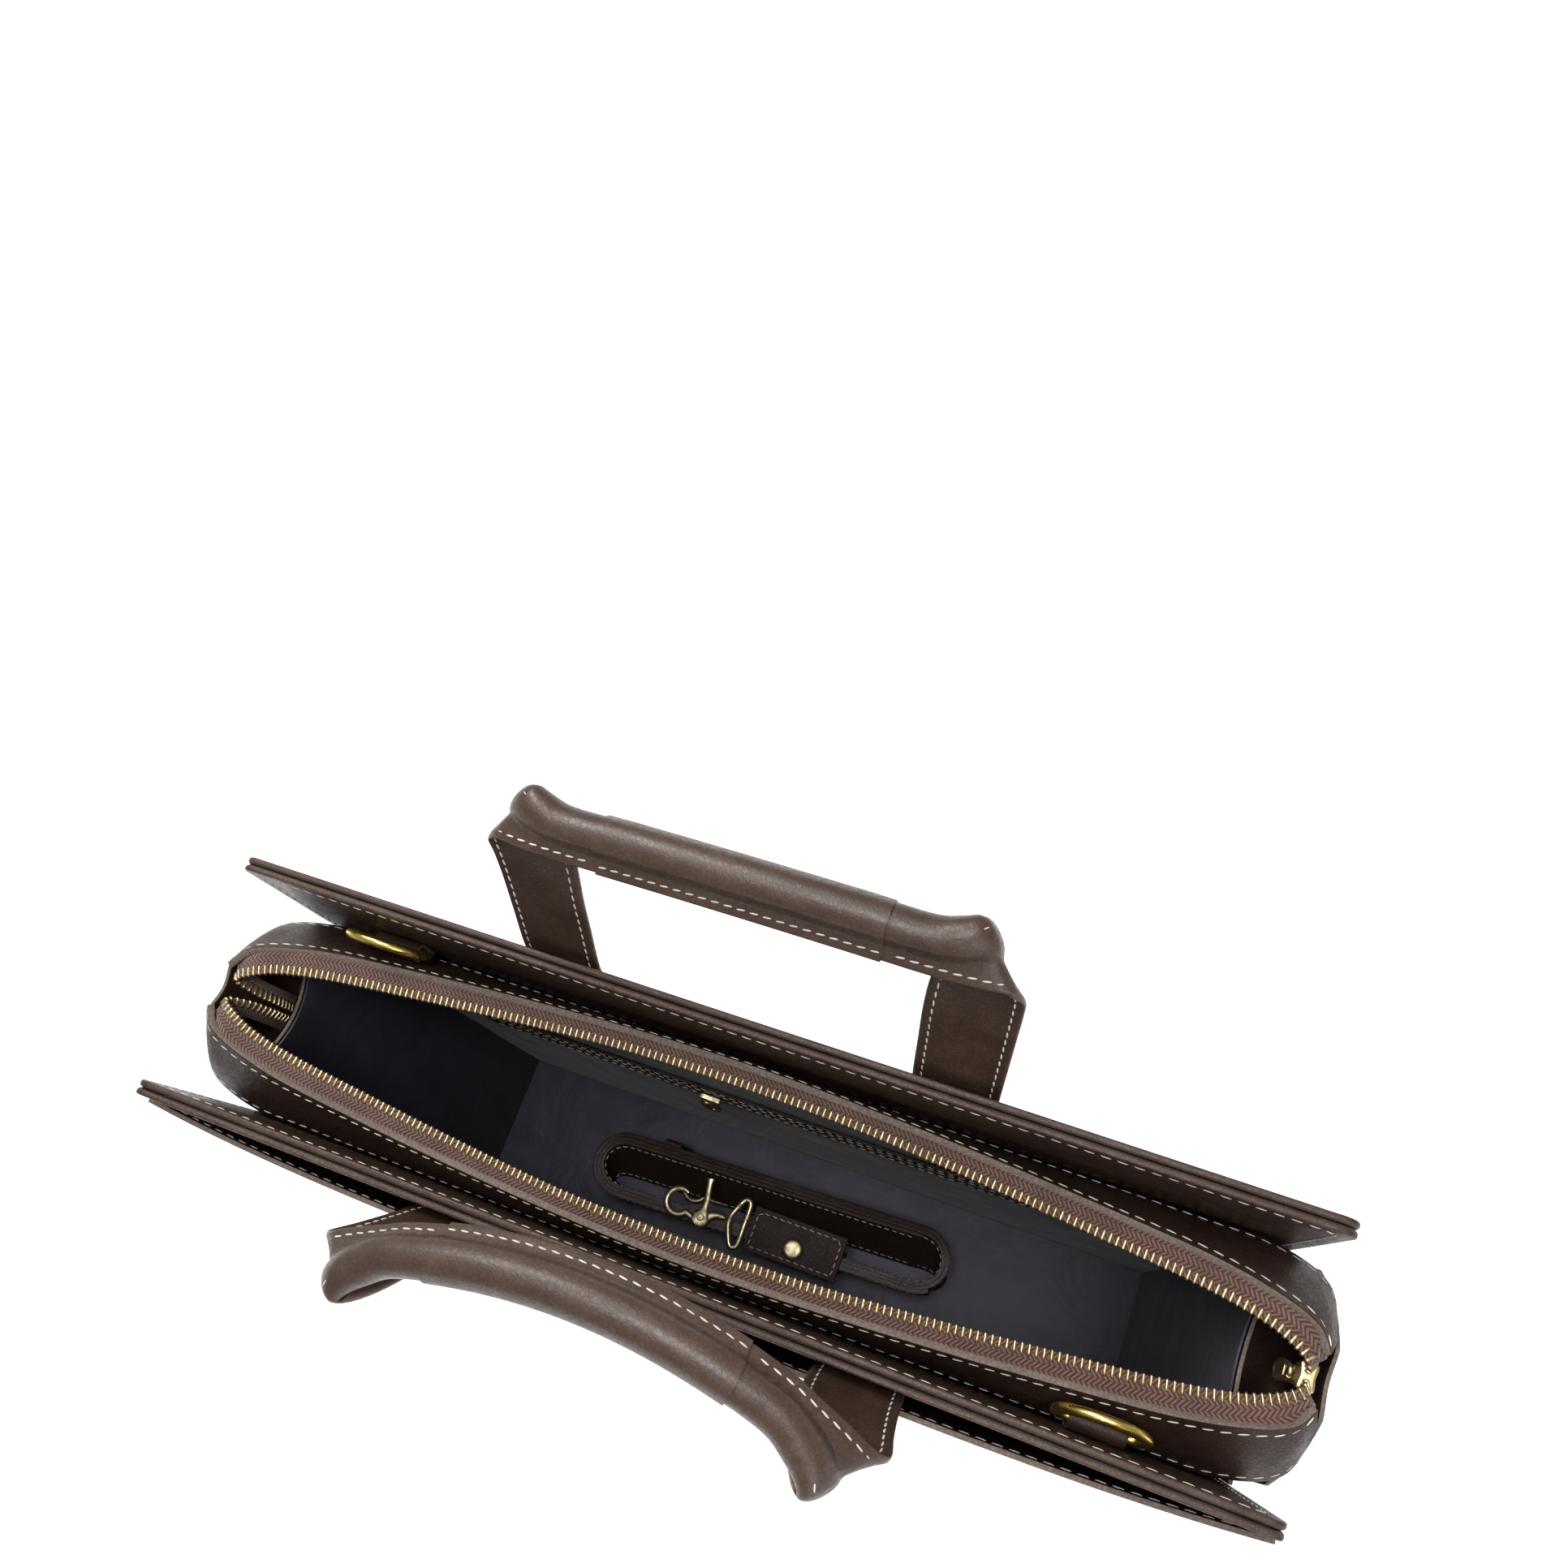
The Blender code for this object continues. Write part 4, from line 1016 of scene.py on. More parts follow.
class BriefcaseBase(bpy.types.Operator):
    """Base leather with its welted edge, the base board and the two folded end gussets"""

    bl_idname = "briefcase.base"
    bl_label = "Base and gussets"

    def execute(self, context):
        low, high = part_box("base_leather")
        piece = board("base_leather_sole", low, high, 4 * MM, 0.7 * MM, (body_leather(),), top_only=False)
        stand_for(piece, ("base_leather",), "bag")
        paint("base_board", pressed_board())
        for side, name in ((-1, "left"), (1, "right")):
            self.gusset(side, f"end_gusset_{name}")
            self.tongue(side, name)
        return {"FINISHED"}

    def tongue(self, side, name):
        """The gusset's top, which turns outwards to close the end below the zip."""
        foot, head = 218 * MM, 266 * MM
        heights = np.array((218, 226, 240, 250, 258, 266)) * MM
        halves = np.array((38.5, 38.0, 36.5, 29.0, 21.0, 11.5)) * MM

        def place(u, v):
            z = foot + (head - foot) * v
            reach = np.interp(z, heights, halves)
            y = (2 * u - 1) * reach
            dip = 8 * MM * np.cos(math.pi * y / 82.4 / MM) ** 2 * (1 - np.clip(v / 0.55, 0, 1)) ** 1.5
            x = 198.8 * MM + 11.5 * MM * np.sin(math.pi / 2 * v) - dip
            return np.stack([side * x, y, z - 2.5 * MM * v * np.cos(math.pi * (u - 0.5)) ** 2], axis=1)

        leathers = (strip_leather(), cut_edge())
        piece = sheet(f"end_tongue_{name}", 28, 24, place, 1.5 * MM, leathers, (0.077, 0.05), 0.25 * MM)
        stand_for(piece, (), "bag", f"end_gusset_{name}")

    def gusset(self, side, node):
        low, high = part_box(node)
        reach = high.y
        edge_x = HALF_LENGTH - 1 * MM
        foot, head = low.z, high.z

        def place(u, v):
            y = (2 * u - 1) * reach
            fold = 8 * MM * np.cos(math.pi * y / (2 * reach)) ** 2
            soft = 0.5 * MM * ripple(u * 0.8, v * 1.3, 2.0 + side) * np.cos(math.pi * y / (2 * reach)) ** 2
            z = foot + (head - foot) * v
            return np.stack([side * (edge_x - fold + soft), y, z], axis=1)

        leathers = (body_leather(), cut_edge())
        measure = (2 * reach, head - foot)
        piece = sheet(f"{node}_leather", 36, 60, place, 1.6 * MM, leathers, measure, 0.25 * MM)
        stand_for(piece, (node,), "bag")
        v = np.linspace(0.02, 0.985, 200)
        rows = [surface_row(place, u, v, float(side), 0.85 * MM) for u in (0.055, 0.945)]
        rows += [surface_row(place, np.linspace(0.06, 0.94, 60), 0.982, float(side), 0.85 * MM)]
        stand_for(stitches(f"{node}_stitching", rows), (), "bag")


class BriefcaseFrontPocket(bpy.types.Operator):
    """Wall of the front slip pocket, bowed at its mouth, with its sewn hem"""

    bl_idname = "briefcase.front_pocket"
    bl_label = "Front pocket"

    def execute(self, context):
        low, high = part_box("front_pocket_wall")
        foot, head = low.z, high.z
        seam = 60 * MM

        def place(u, v):
            x = (2 * u - 1) * HALF_LENGTH
            z = foot + (head - foot) * v
            opening = np.clip((z - seam) / (head - seam), 0, 1)
            bow = 5.5 * MM * opening * (1 - np.abs(x / HALF_LENGTH) ** 4)
            return np.stack([x, -(OUTER_Y + 1.2 * MM + bow), z], axis=1)

        piece = sheet(
            "front_pocket_leather",
            100,
            48,
            place,
            1.8 * MM,
            (body_leather(), cut_edge()),
            (2 * HALF_LENGTH, head - foot),
            0.3 * MM,
        )
        stand_for(piece, ("front_pocket_wall",), "bag")
        u = np.linspace(0.012, 0.988, 300)
        rows = [surface_row(place, u, 0.985, side, 0.93 * MM) for side in (1.0, -1.0)]
        v = np.linspace(0.02, 0.985, 200)
        rows += [surface_row(place, u_side, v, 1.0, 0.93 * MM) for u_side in (0.0105, 0.9895)]
        stand_for(stitches("front_pocket_stitching", rows), (), "bag")
        return {"FINISHED"}


# ---------------------------------------------------------------- main zip


def whole_line(half, half_width, z, lift=None):
    """A line of the zip from the left end to the right end, on the rear half."""
    lift = lift or (0,) * len(half)
    right = [(x * MM, half_width * share, z + rise * MM) for (x, share), rise in zip(half, lift)]
    left = [(-x, y, at) for x, y, at in right[:0:-1]]
    return np.array(left + right)


def chain_route():
    """The rear half chain: up from behind the lining, round the left end, along, and into the slider."""
    end = HALF_LENGTH + 3.6 * MM
    beside = 2.5 * MM
    middle = whole_line(CHAIN_LINE, CHAIN_Y, CHAIN_Z)[1:-1]
    left = [
        (-end + 7.6 * MM, beside, CHAIN_Z - 34 * MM),
        (-end + 7.4 * MM, beside, CHAIN_Z - 22 * MM),
        (-end + 4.0 * MM, beside + 0.4 * MM, CHAIN_Z - 11 * MM),
        (-end - 0.6 * MM, beside + 2.6 * MM, CHAIN_Z - 3 * MM),
    ]
    right = [
        (end - 1.4 * MM, beside + 2.7 * MM, CHAIN_Z - 0.4 * MM),
        (end - 0.2 * MM, beside + 0.5 * MM, CHAIN_Z - 1.7 * MM),
        (end, beside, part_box("main_slider")[1].z + 0.3 * MM),
    ]
    return curve_at(np.array([*left, *middle, *right]), np.linspace(0, 1, 900))


def across_chain(route):
    """The direction from the tape to the open side, for each point of the rear route."""
    ahead = tangents(route)
    x = route[:, 0]
    inwards = -0.35 * np.sign(x) * (np.abs(x) > 190 * MM)
    wish = np.stack([inwards, -np.ones(len(x)), np.zeros(len(x))], axis=1)
    return unit(wish - ahead * np.sum(wish * ahead, axis=1, keepdims=True))


def strip_place(u, v):
    """The rear zip strip: its top edge at v 0 and its foot, on the panel, at v 1."""
    top = curve_at(whole_line(TOP_LINE, STRIP_TOP_Y, ZIP_TOP - 1.0 * MM), u)
    foot = curve_at(whole_line(FOOT_LINE, STRIP_FOOT_Y, ZIP_FOOT + 0.8 * MM, FOOT_LIFT), u)
    at = top + (foot - top) * v[:, None]
    bulge = np.sin(math.pi * v) * (1.3 + 0.35 * ripple(3 * u, v, 4.0)) * MM
    at[:, 1] += bulge * 0.7
    at[:, 2] += bulge * 0.5 + 0.25 * MM * ripple(4 * u, 0.2 * v, 1.0) * (1 - v)
    return at


class BriefcaseMainZip(bpy.types.Operator):
    """Leather strips, woven tapes, every brass tooth, the slider and its pull"""

    bl_idname = "briefcase.main_zip"
    bl_label = "Main zip"

    def execute(self, context):
        strip = sheet(
            "rear_zip_strip_leather",
            150,
            22,
            strip_place,
            2.6 * MM,
            (strip_leather(), cut_edge()),
            (0.425, 0.032),
            0.35 * MM,
        )
        twin = mirror_y(strip, "front_zip_strip_leather")
        u = np.linspace(0.006, 0.994, 500)
        rows = facing_rows(strip_place, [(u, 0.105), (u, 0.895)], 1.3 * MM, (0, 1, 0))
        seam = stitches("rear_zip_strip_stitching", rows)
        seam_twin = mirror_y(seam, "front_zip_strip_stitching")

        route = chain_route()
        tape = self.tape(route)
        tape_twin = mirror_y(tape, "front_zip_tape_cloth")
        teeth = self.teeth("rear_zip_teeth", route)
        teeth_twin = mirror_y(teeth, "front_zip_teeth")
        for piece, node in (
            (strip, "rear_zip_strip"),
            (twin, "front_zip_strip"),
            (tape, "rear_zip_tape"),
            (tape_twin, "front_zip_tape"),
            (teeth, "rear_zip_chain"),
            (teeth_twin, "front_zip_chain"),
        ):
            stand_for(piece, (node,), "bag")
        stand_for(seam, (), "bag")
        stand_for(seam_twin, (), "bag")
        self.joined_teeth()
        self.slider()
        self.pull()
        return {"FINISHED"}

    def tape(self, route):
        points = even_steps(route, count=360)
        inward = across_chain(points)
        top = whole_line(TOP_LINE, STRIP_TOP_Y, ZIP_TOP)
        band = curve_at(top, np.linspace(0, 1, 600))
        gap = np.linalg.norm(points[:, None, :2] - band[None, :, :2], axis=2).min(axis=1) - 1.5 * MM
        level = np.clip((points[:, 2] - (CHAIN_Z - 4 * MM)) / (3 * MM), 0, 1)
        wide = (gap + 2.6 * MM) * level + 5.5 * MM * (1 - level)
        wide = np.convolve(np.pad(wide, 4, "edge"), np.ones(9) / 9, "valid")

        def place(u, v):
            i = np.rint(u * (len(points) - 1)).astype(int)
            at = points[i] + inward[i] * (1.2 * MM - v * (wide[i] + 1.0 * MM))[:, None]
            at[:, 2] += 0.12 * MM * ripple(9 * u, v, 3.0)
            return at

        length = float(np.linalg.norm(np.diff(points, axis=0), axis=1).sum())
        measure = (length, 9 * MM)
        return sheet("rear_zip_tape_cloth", len(points) - 1, 8, place, 0.7 * MM, (zip_tape(),), measure)

    def tooth(self):
        s = sizes()
        pitch = s.tooth_pitch
        widths = (0.46, 0.58, 0.42, 0.66)
        heights = (1.8, 2.7, 2.2, 2.9)
        full = 1.1  # the rounding shrinks the shape by about a tenth
        widths = [share * pitch * full for share in widths]
        return unit_shape(widths, [height * MM for height in heights], s.tooth_length * full, ())

    def teeth(self, name, route):
        points = even_steps(route, sizes().tooth_pitch)
        inward = across_chain(points)
        out = np.cross(tangents(points), inward)
        out *= np.where(out[:, 2:3] < 0, -1, 1)
        turns = frames_from(inward, out)
        return copies_of(name, self.tooth(), turns, points - inward * 0.3 * MM, (tooth_brass(),))

    def joined_teeth(self):
        low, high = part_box("joined_zip_chain")
        x = (low.x + high.x) / 2
        count = int((high.z - low.z) / (sizes().tooth_pitch / 2))
        z = np.linspace(high.z - 1 * MM, low.z + 1 * MM, count)
        side = np.where(np.arange(count) % 2 == 0, 1.0, -1.0)
        points = np.stack([np.full(count, x), side * 1.2 * MM, z], axis=1)
        inward = np.stack([np.zeros(count), -side, np.zeros(count)], axis=1)
        out = np.tile((-1.0, 0.0, 0.0), (count, 1))
        turns = frames_from(inward, out) * 0.82
        piece = copies_of("joined_zip_teeth", self.tooth(), turns, points, (tooth_brass(),))
        stand_for(piece, ("joined_zip_chain",), "bag")

    def slider(self):
        def shape(points, half):
            w = points[:, 2] / half.z
            points[:, 1] *= 0.72 + 0.26 * np.clip(w + 0.2, 0, 1)
            near = np.clip(1 - np.abs(points[:, 1]) / (half.y * 0.45), 0, 1)
            points[:, 0] *= 1 - 0.25 * near * (np.abs(points[:, 0]) > 0.9 * half.x)

        piece = slider_body("main_slider_body", "main_slider", shape, tooth_brass())
        stand_for(piece, ("main_slider",), "bag")

    def pull(self):
        low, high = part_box("main_pull")
        x = (low.x + high.x) / 2
        half = (high.y - low.y) / 2
        eye = JOINTS["main_pull_hinge"]["pos_m"][2]
        thick = high.x - low.x

        def outline(s, angle):
            return np.cos(angle) * 0.5 * thick, np.sin(angle) * 0.5 * thick

        wide = half - thick / 2
        foot = low.z + thick / 2
        bow = eye - 0.6 * MM
        path = [(x, wide * math.cos(a) * 0.55, bow + 1.0 * MM * math.sin(a)) for a in np.linspace(0, math.pi, 7)]
        path += [(x, -wide, eye - 8 * MM), (x, -wide, foot + 2.2 * MM)]
        path += [(x, -wide + 1.6 * MM, foot), (x, wide - 1.6 * MM, foot)]
        path += [(x, wide, foot + 2.2 * MM), (x, wide, eye - 8 * MM)]
        loop = curve_at(np.array([*path, path[0]]), np.linspace(0, 1, 72))[:-1]
        ring = swept("main_pull_frame", loop, outline, (tooth_brass(),), True, (1, 0, 0))
        plate_low = (x - 0.45 * MM, -wide, foot)
        plate_high = (x + 0.45 * MM, wide, eye - 6.5 * MM)
        brass = (tooth_brass(),)
        plate = board("main_pull_plate", plate_low, plate_high, 1.5 * MM, 0.3 * MM, brass, top_only=False)
        stand_for(ring, ("main_pull",), "main_pull")
        stand_for(plate, (), "main_pull", "main_pull")


# ---------------------------------------------------------------- lining and inner pocket


class BriefcaseLining(bpy.types.Operator):
    """Cloth walls sewn up to the zip, floor, and the end walls with their curved rims"""

    bl_idname = "briefcase.lining"
    bl_label = "Lining"

    def execute(self, context):
        self.wall("rear_lining", 1)
        self.wall("front_lining", -1)
        self.floor()
        for side, name in ((-1, "left"), (1, "right")):
            self.end(side, name)
        return {"FINISHED"}

    def wall(self, node, side):
        end = LINING_END_X - 0.6 * MM
        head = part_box(node)[1].z
        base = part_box(node)[0].z

        def place(u, v):
            x = (2 * u - 1) * end
            rise = np.clip(v / 0.86, 0, 1)
            z = base + (head - 6 * MM - base) * rise
            wave = 0.55 * MM * ripple(2.4 * u, 1.6 * v, 5.0 + side) * np.sin(math.pi * np.clip(rise, 0, 1))
            y = LINING_Y + 0.5 * MM + np.clip(wave, -0.35 * MM, 0.45 * MM)
            line = whole_line(CHAIN_LINE, CHAIN_Y, CHAIN_Z)
            chain = np.interp(x, line[:, 0], line[:, 1])
            turn = np.clip((v - 0.86) / 0.14, 0, 1)
            goal_y = np.minimum(chain + 3.2 * MM, LINING_Y)
            goal_z = CHAIN_Z - 1.6 * MM
            y = y + (goal_y - y) * turn**1.3
            z = z + (goal_z - z) * turn
            return np.stack([x, side * y, z], axis=1)

        piece = sheet(f"{node}_cloth", 110, 70, place, 0.8 * MM, (lining_cloth(),), (2 * end, 0.27))
        stand_for(piece, (node,), "bag")

    def floor(self):
        low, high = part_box("lining_floor")

        def place(u, v):
            x = low.x + (high.x - low.x) * u
            y = low.y + (high.y - low.y) * v
            sag = np.sin(math.pi * u) * np.sin(math.pi * v)
            z = (low.z + high.z) / 2 + 0.1 * MM * ripple(3 * u, 2 * v, 8.0) * sag
            return np.stack([x, y, z], axis=1)

        piece = sheet("lining_floor_cloth", 90, 24, place, 0.8 * MM, (lining_cloth(),), (0.37, 0.066))
        stand_for(piece, ("lining_floor",), "bag")

    def end(self, side, name):
        node = f"{name}_lining_end"
        low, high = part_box(node)
        foot_y = high.y
        top, base = high.z, low.z
        x_in = LINING_END_X

        def rim(y):
            half = 25 * MM
            inside = top - 10 * MM * np.cos(math.pi * np.clip(np.abs(y) / half, 0, 1) / 2)
            outside = top - 26 * MM * np.clip((np.abs(y) - half) / (foot_y - half), 0, 1)
            return np.where(np.abs(y) <= half, inside, outside)

        def place(u, v):
            y = (2 * u - 1) * foot_y
            z = base + (rim(y) - base) * v
            lean = 3.6 * MM * np.clip((0.86 - v) / 0.5, 0, 1) ** 1.4
            fold = 0.9 * MM * np.exp(-(((np.abs(y) - 21 * MM) / (3.5 * MM)) ** 2)) * np.clip(v * 2, 0, 1)
            x = x_in + 0.4 * MM - lean - fold * np.clip((0.97 - v) / 0.12, 0, 1)
            return np.stack([side * x, y, z], axis=1)

        piece = sheet(f"{node}_cloth", 40, 70, place, 0.7 * MM, (lining_cloth(),), (2 * foot_y, top - base))
        stand_for(piece, (node,), "bag")

        facing = f"{name}_end_facing"
        f_low, f_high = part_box(facing)
        facing_x = (abs(f_low.x) + abs(f_high.x)) / 2

        def face(u, v):
            y = (2 * u - 1) * foot_y
            z = base + (rim(y) + 0.6 * MM - base) * v
            return np.stack([np.full(len(u), side * facing_x), y, z], axis=1)

        leathers = (body_leather(), cut_edge())
        measure = (2 * foot_y, top - base)
        piece = sheet(f"{facing}_leather", 40, 40, face, 1.5 * MM, leathers, measure, 0.3 * MM)
        stand_for(piece, (facing,), "bag")
        rows = facing_rows(face, [(np.linspace(0.13, 0.87, 80), 0.985)], 0.78 * MM, (side, 0, 0))
        stand_for(stitches(f"{facing}_stitching", rows, small=0.8), (), "bag")


class BriefcaseInnerPocket(bpy.types.Operator):
    """Zipped pocket in the rear lining: leather frame, dark tape, teeth, slider, pull and pouch"""

    bl_idname = "briefcase.inner_pocket"
    bl_label = "Inner pocket"

    def execute(self, context):
        trim_low, trim_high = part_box("inner_pocket_trim")
        tape_low, tape_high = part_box("inner_zip_tape")
        chain_low, chain_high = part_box("inner_zip_chain")
        slot_z = (chain_low.z + chain_high.z) / 2
        half_slot = 3.5 * MM
        low_x, high_x = chain_low.x - 2 * MM, chain_high.x + 2 * MM
        y = (trim_low.y + trim_high.y) / 2

        def bar(name, low, high):
            return board(name, low, high, 1.2 * MM, 0.35 * MM, (strap_leather(),), top_only=False)

        front, back = y - 0.55 * MM, y + 0.55 * MM
        left, right, under, over = trim_low.x, trim_high.x, slot_z - half_slot, slot_z + half_slot
        parts = [
            bar("inner_trim_above", (left, front, over), (right, back, trim_high.z)),
            bar("inner_trim_below", (left, front, trim_low.z), (right, back, under)),
            bar("inner_trim_left", (left, front, under), (low_x, back, over)),
            bar("inner_trim_right", (high_x, front, under), (right, back, over)),
        ]
        for part in parts[1:]:
            stand_for(part, (), "bag", "inner_pocket_trim")
        stand_for(parts[0], ("inner_pocket_trim",), "bag")
        rows = []
        for z in (over + 2.2 * MM, over + 9.8 * MM, under - 2.2 * MM):
            points = even_steps([(left + 4 * MM, front, z), (right - 4 * MM, front, z)], 2 * MM)
            rows.append((points, np.tile((0.0, -1.0, 0.0), (len(points), 1))))
        stand_for(stitches("inner_pocket_stitching", rows, pitch=4.4 * MM, small=0.85), (), "bag")

        def cloth(u, v):
            x = tape_low.x + (tape_high.x - tape_low.x) * u
            z = tape_low.z + (tape_high.z - tape_low.z) * v
            return np.stack([x, np.full(len(u), (tape_low.y + tape_high.y) / 2), z], axis=1)

        tape = sheet("inner_zip_tape_cloth", 60, 4, cloth, 0.5 * MM, (dark_tape(),), (0.28, 0.014))
        stand_for(tape, ("inner_zip_tape",), "bag")
        pitch = 2.0 * MM
        count = int((chain_high.x - chain_low.x) / pitch)
        x = np.linspace(chain_low.x, chain_high.x, 2 * count)
        side = np.where(np.arange(2 * count) % 2 == 0, 1.0, -1.0)
        points = np.stack([x, np.full(len(x), y), slot_z + side * 0.7 * MM], axis=1)
        ahead = np.stack([np.zeros(len(x)), np.zeros(len(x)), -side], axis=1)
        out = np.tile((0.0, -1.0, 0.0), (len(x), 1))
        widths, heights = np.array((0.4, 0.7, 0.55, 0.8)) * MM, np.array((0.7, 1.1, 1.0, 1.1)) * MM
        shape = unit_shape(widths, heights, 2.6 * MM, ())
        teeth = copies_of("inner_zip_teeth", shape, frames_from(ahead, out), points, (hook_brass(),))
        stand_for(teeth, ("inner_zip_chain",), "bag")
        self.slider()
        self.pull()
        paint("inner_pocket_pouch", lining_cloth())
        return {"FINISHED"}

    def slider(self):
        def shape(points, half):
            points[:, 2] *= 0.62 + 0.36 * np.clip(0.5 - points[:, 0] / half.x, 0, 1)

        piece = slider_body("inner_slider_body", "inner_slider", shape, hook_brass())
        stand_for(piece, ("inner_slider",), "inner_slider")

    def pull(self):
        low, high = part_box("inner_pull")
        x, y = (low.x + high.x) / 2, (low.y + high.y) / 2
        r = 0.9 * MM
        head, foot = high.z - r, low.z + r
        turn = np.linspace(0, 2 * math.pi, 49)[:-1]
        narrow, wide = 3.2 * MM, (high.x - low.x) / 2 - r
        z_mid, z_half = (head + foot) / 2, (head - foot) / 2
        share = (1 - np.sin(turn)) / 2
        across = x + np.cos(turn) * (narrow + (wide - narrow) * share)
        loop = np.stack([across, np.full(48, y), z_mid + z_half * np.sin(turn)], axis=1)
        piece = swept("inner_pull_loop", loop, round_section(r), (hook_brass(),), True, (0, 1, 0))
        stand_for(piece, ("inner_pull",), "inner_pull")


# ---------------------------------------------------------------- strap rings


class BriefcaseStrapRings(bpy.types.Operator):
    """The two D-rings and the sewn leather loops that hold them"""

    bl_idname = "briefcase.strap_rings"
    bl_label = "Strap rings"

    def execute(self, context):
        for side, name in ((1, "rear_left"), (-1, "front_right")):
            self.ring(side, name)
            self.loop(side, name)
        return {"FINISHED"}

    def ring(self, side, name):
        axis = Vector(JOINTS[f"ring_{name}_hinge"]["pos_m"])
        rod = sizes().ring_rod / 2
        low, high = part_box(f"d_ring_{name}")
        half = (high.x - low.x) / 2 - rod
        tall = 22 * MM
        turn = np.linspace(0, math.pi, 40)
        dome = [(half * math.cos(a), tall - half + half * math.sin(a)) for a in turn]
        bend = 4 * MM
        quarter = np.linspace(0, math.pi / 2, 9)
        left = [(-half + bend - bend * math.cos(a), bend - bend * math.sin(a)) for a in quarter]
        right = [(half - bend + bend * math.sin(a), bend - bend * math.cos(a)) for a in quarter]
        flat = np.array([*dome, *left, *right])
        flat = even_steps(np.vstack([flat, flat[:1]]), count=97)[:-1]
        lean = math.radians(10)
        up = np.array([0, -side * math.sin(lean), math.cos(lean)])
        loop = np.array(axis) + flat[:, :1] * np.array([1.0, 0, 0]) + flat[:, 1:] * up
        across = np.cross((1, 0, 0), up)
        piece = swept(f"d_ring_{name}_rod", loop, round_section(rod), (ring_brass(),), True, across)
        stand_for(piece, (f"d_ring_{name}",), f"ring_{name}")

    def loop(self, side, name):
        node = f"ring_tab_{name}"
        axis = Vector(JOINTS[f"ring_{name}_hinge"]["pos_m"])
        low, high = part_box(node)
        thick = 1.4 * MM
        hole = sizes().ring_rod / 2 + 0.3 * MM
        radius = hole + thick / 2
        y0, z0 = side * axis.y, axis.z
        back = FACE_Y - 0.3 * MM
        turn = np.linspace(math.radians(35), math.radians(222), 26)
        wrap = [(y0 + radius * math.cos(a), z0 + radius * math.sin(a)) for a in turn]
        inner_foot = back - 2 * thick + thick / 2 - 0.3 * MM
        line = [(back - thick / 2, low.z), (back - thick / 2, z0 - 2 * MM), (back - thick / 2, z0)]
        line += [*wrap, (inner_foot, low.z + 4 * MM), (inner_foot, low.z)]
        profile = even_steps(curve_at(np.array(line), np.linspace(0, 1, 400)), count=61)
        half = (high.x - low.x) / 2

        def place(u, v):
            at = between(profile, v)
            return np.stack([axis.x + (2 * u - 1) * half, side * at[:, 0], at[:, 1]], axis=1)

        leathers = (strip_leather(), cut_edge())
        piece = sheet(f"{node}_leather", 10, 60, place, thick, leathers, (0.019, 0.04), 0.2 * MM)
        stand_for(piece, (node,), "bag")
        rows = facing_rows(place, [(np.linspace(0.12, 0.88, 20), 0.93)], thick / 2, (0, -side, 0))
        stand_for(stitches(f"{node}_stitching", rows, pitch=3.4 * MM, small=0.8), (), "bag")


# ---------------------------------------------------------------- handles


def half_thickness(c, length, fold, strap):
    """Half the thickness across a handle, from its sewn edge (0) to its far side (length)."""
    end = np.clip(np.minimum(c, length - c) / (0.55 * strap), 0, 1)
    flat = 0.5 * strap * np.sqrt(1 - (1 - end) ** 2)
    middle = length - GRIP_RADIUS
    inside = np.clip(1 - ((c - middle) / GRIP_RADIUS) ** 2, 0, 1)
    tube = GRIP_RADIUS * np.sqrt(inside)
    half_seam = 1.7 * MM
    neck = half_seam * np.sqrt(np.clip(c / (0.8 * MM), 0, 1))
    lead = np.clip((c - 3.2 * MM) / (6.5 * MM), 0, 1)
    lead = lead * lead * (3 - 2 * lead)
    tear = np.where(c > middle, tube, neck + (np.maximum(tube, half_seam) - neck) * lead)
    return flat + (tear - flat) * fold


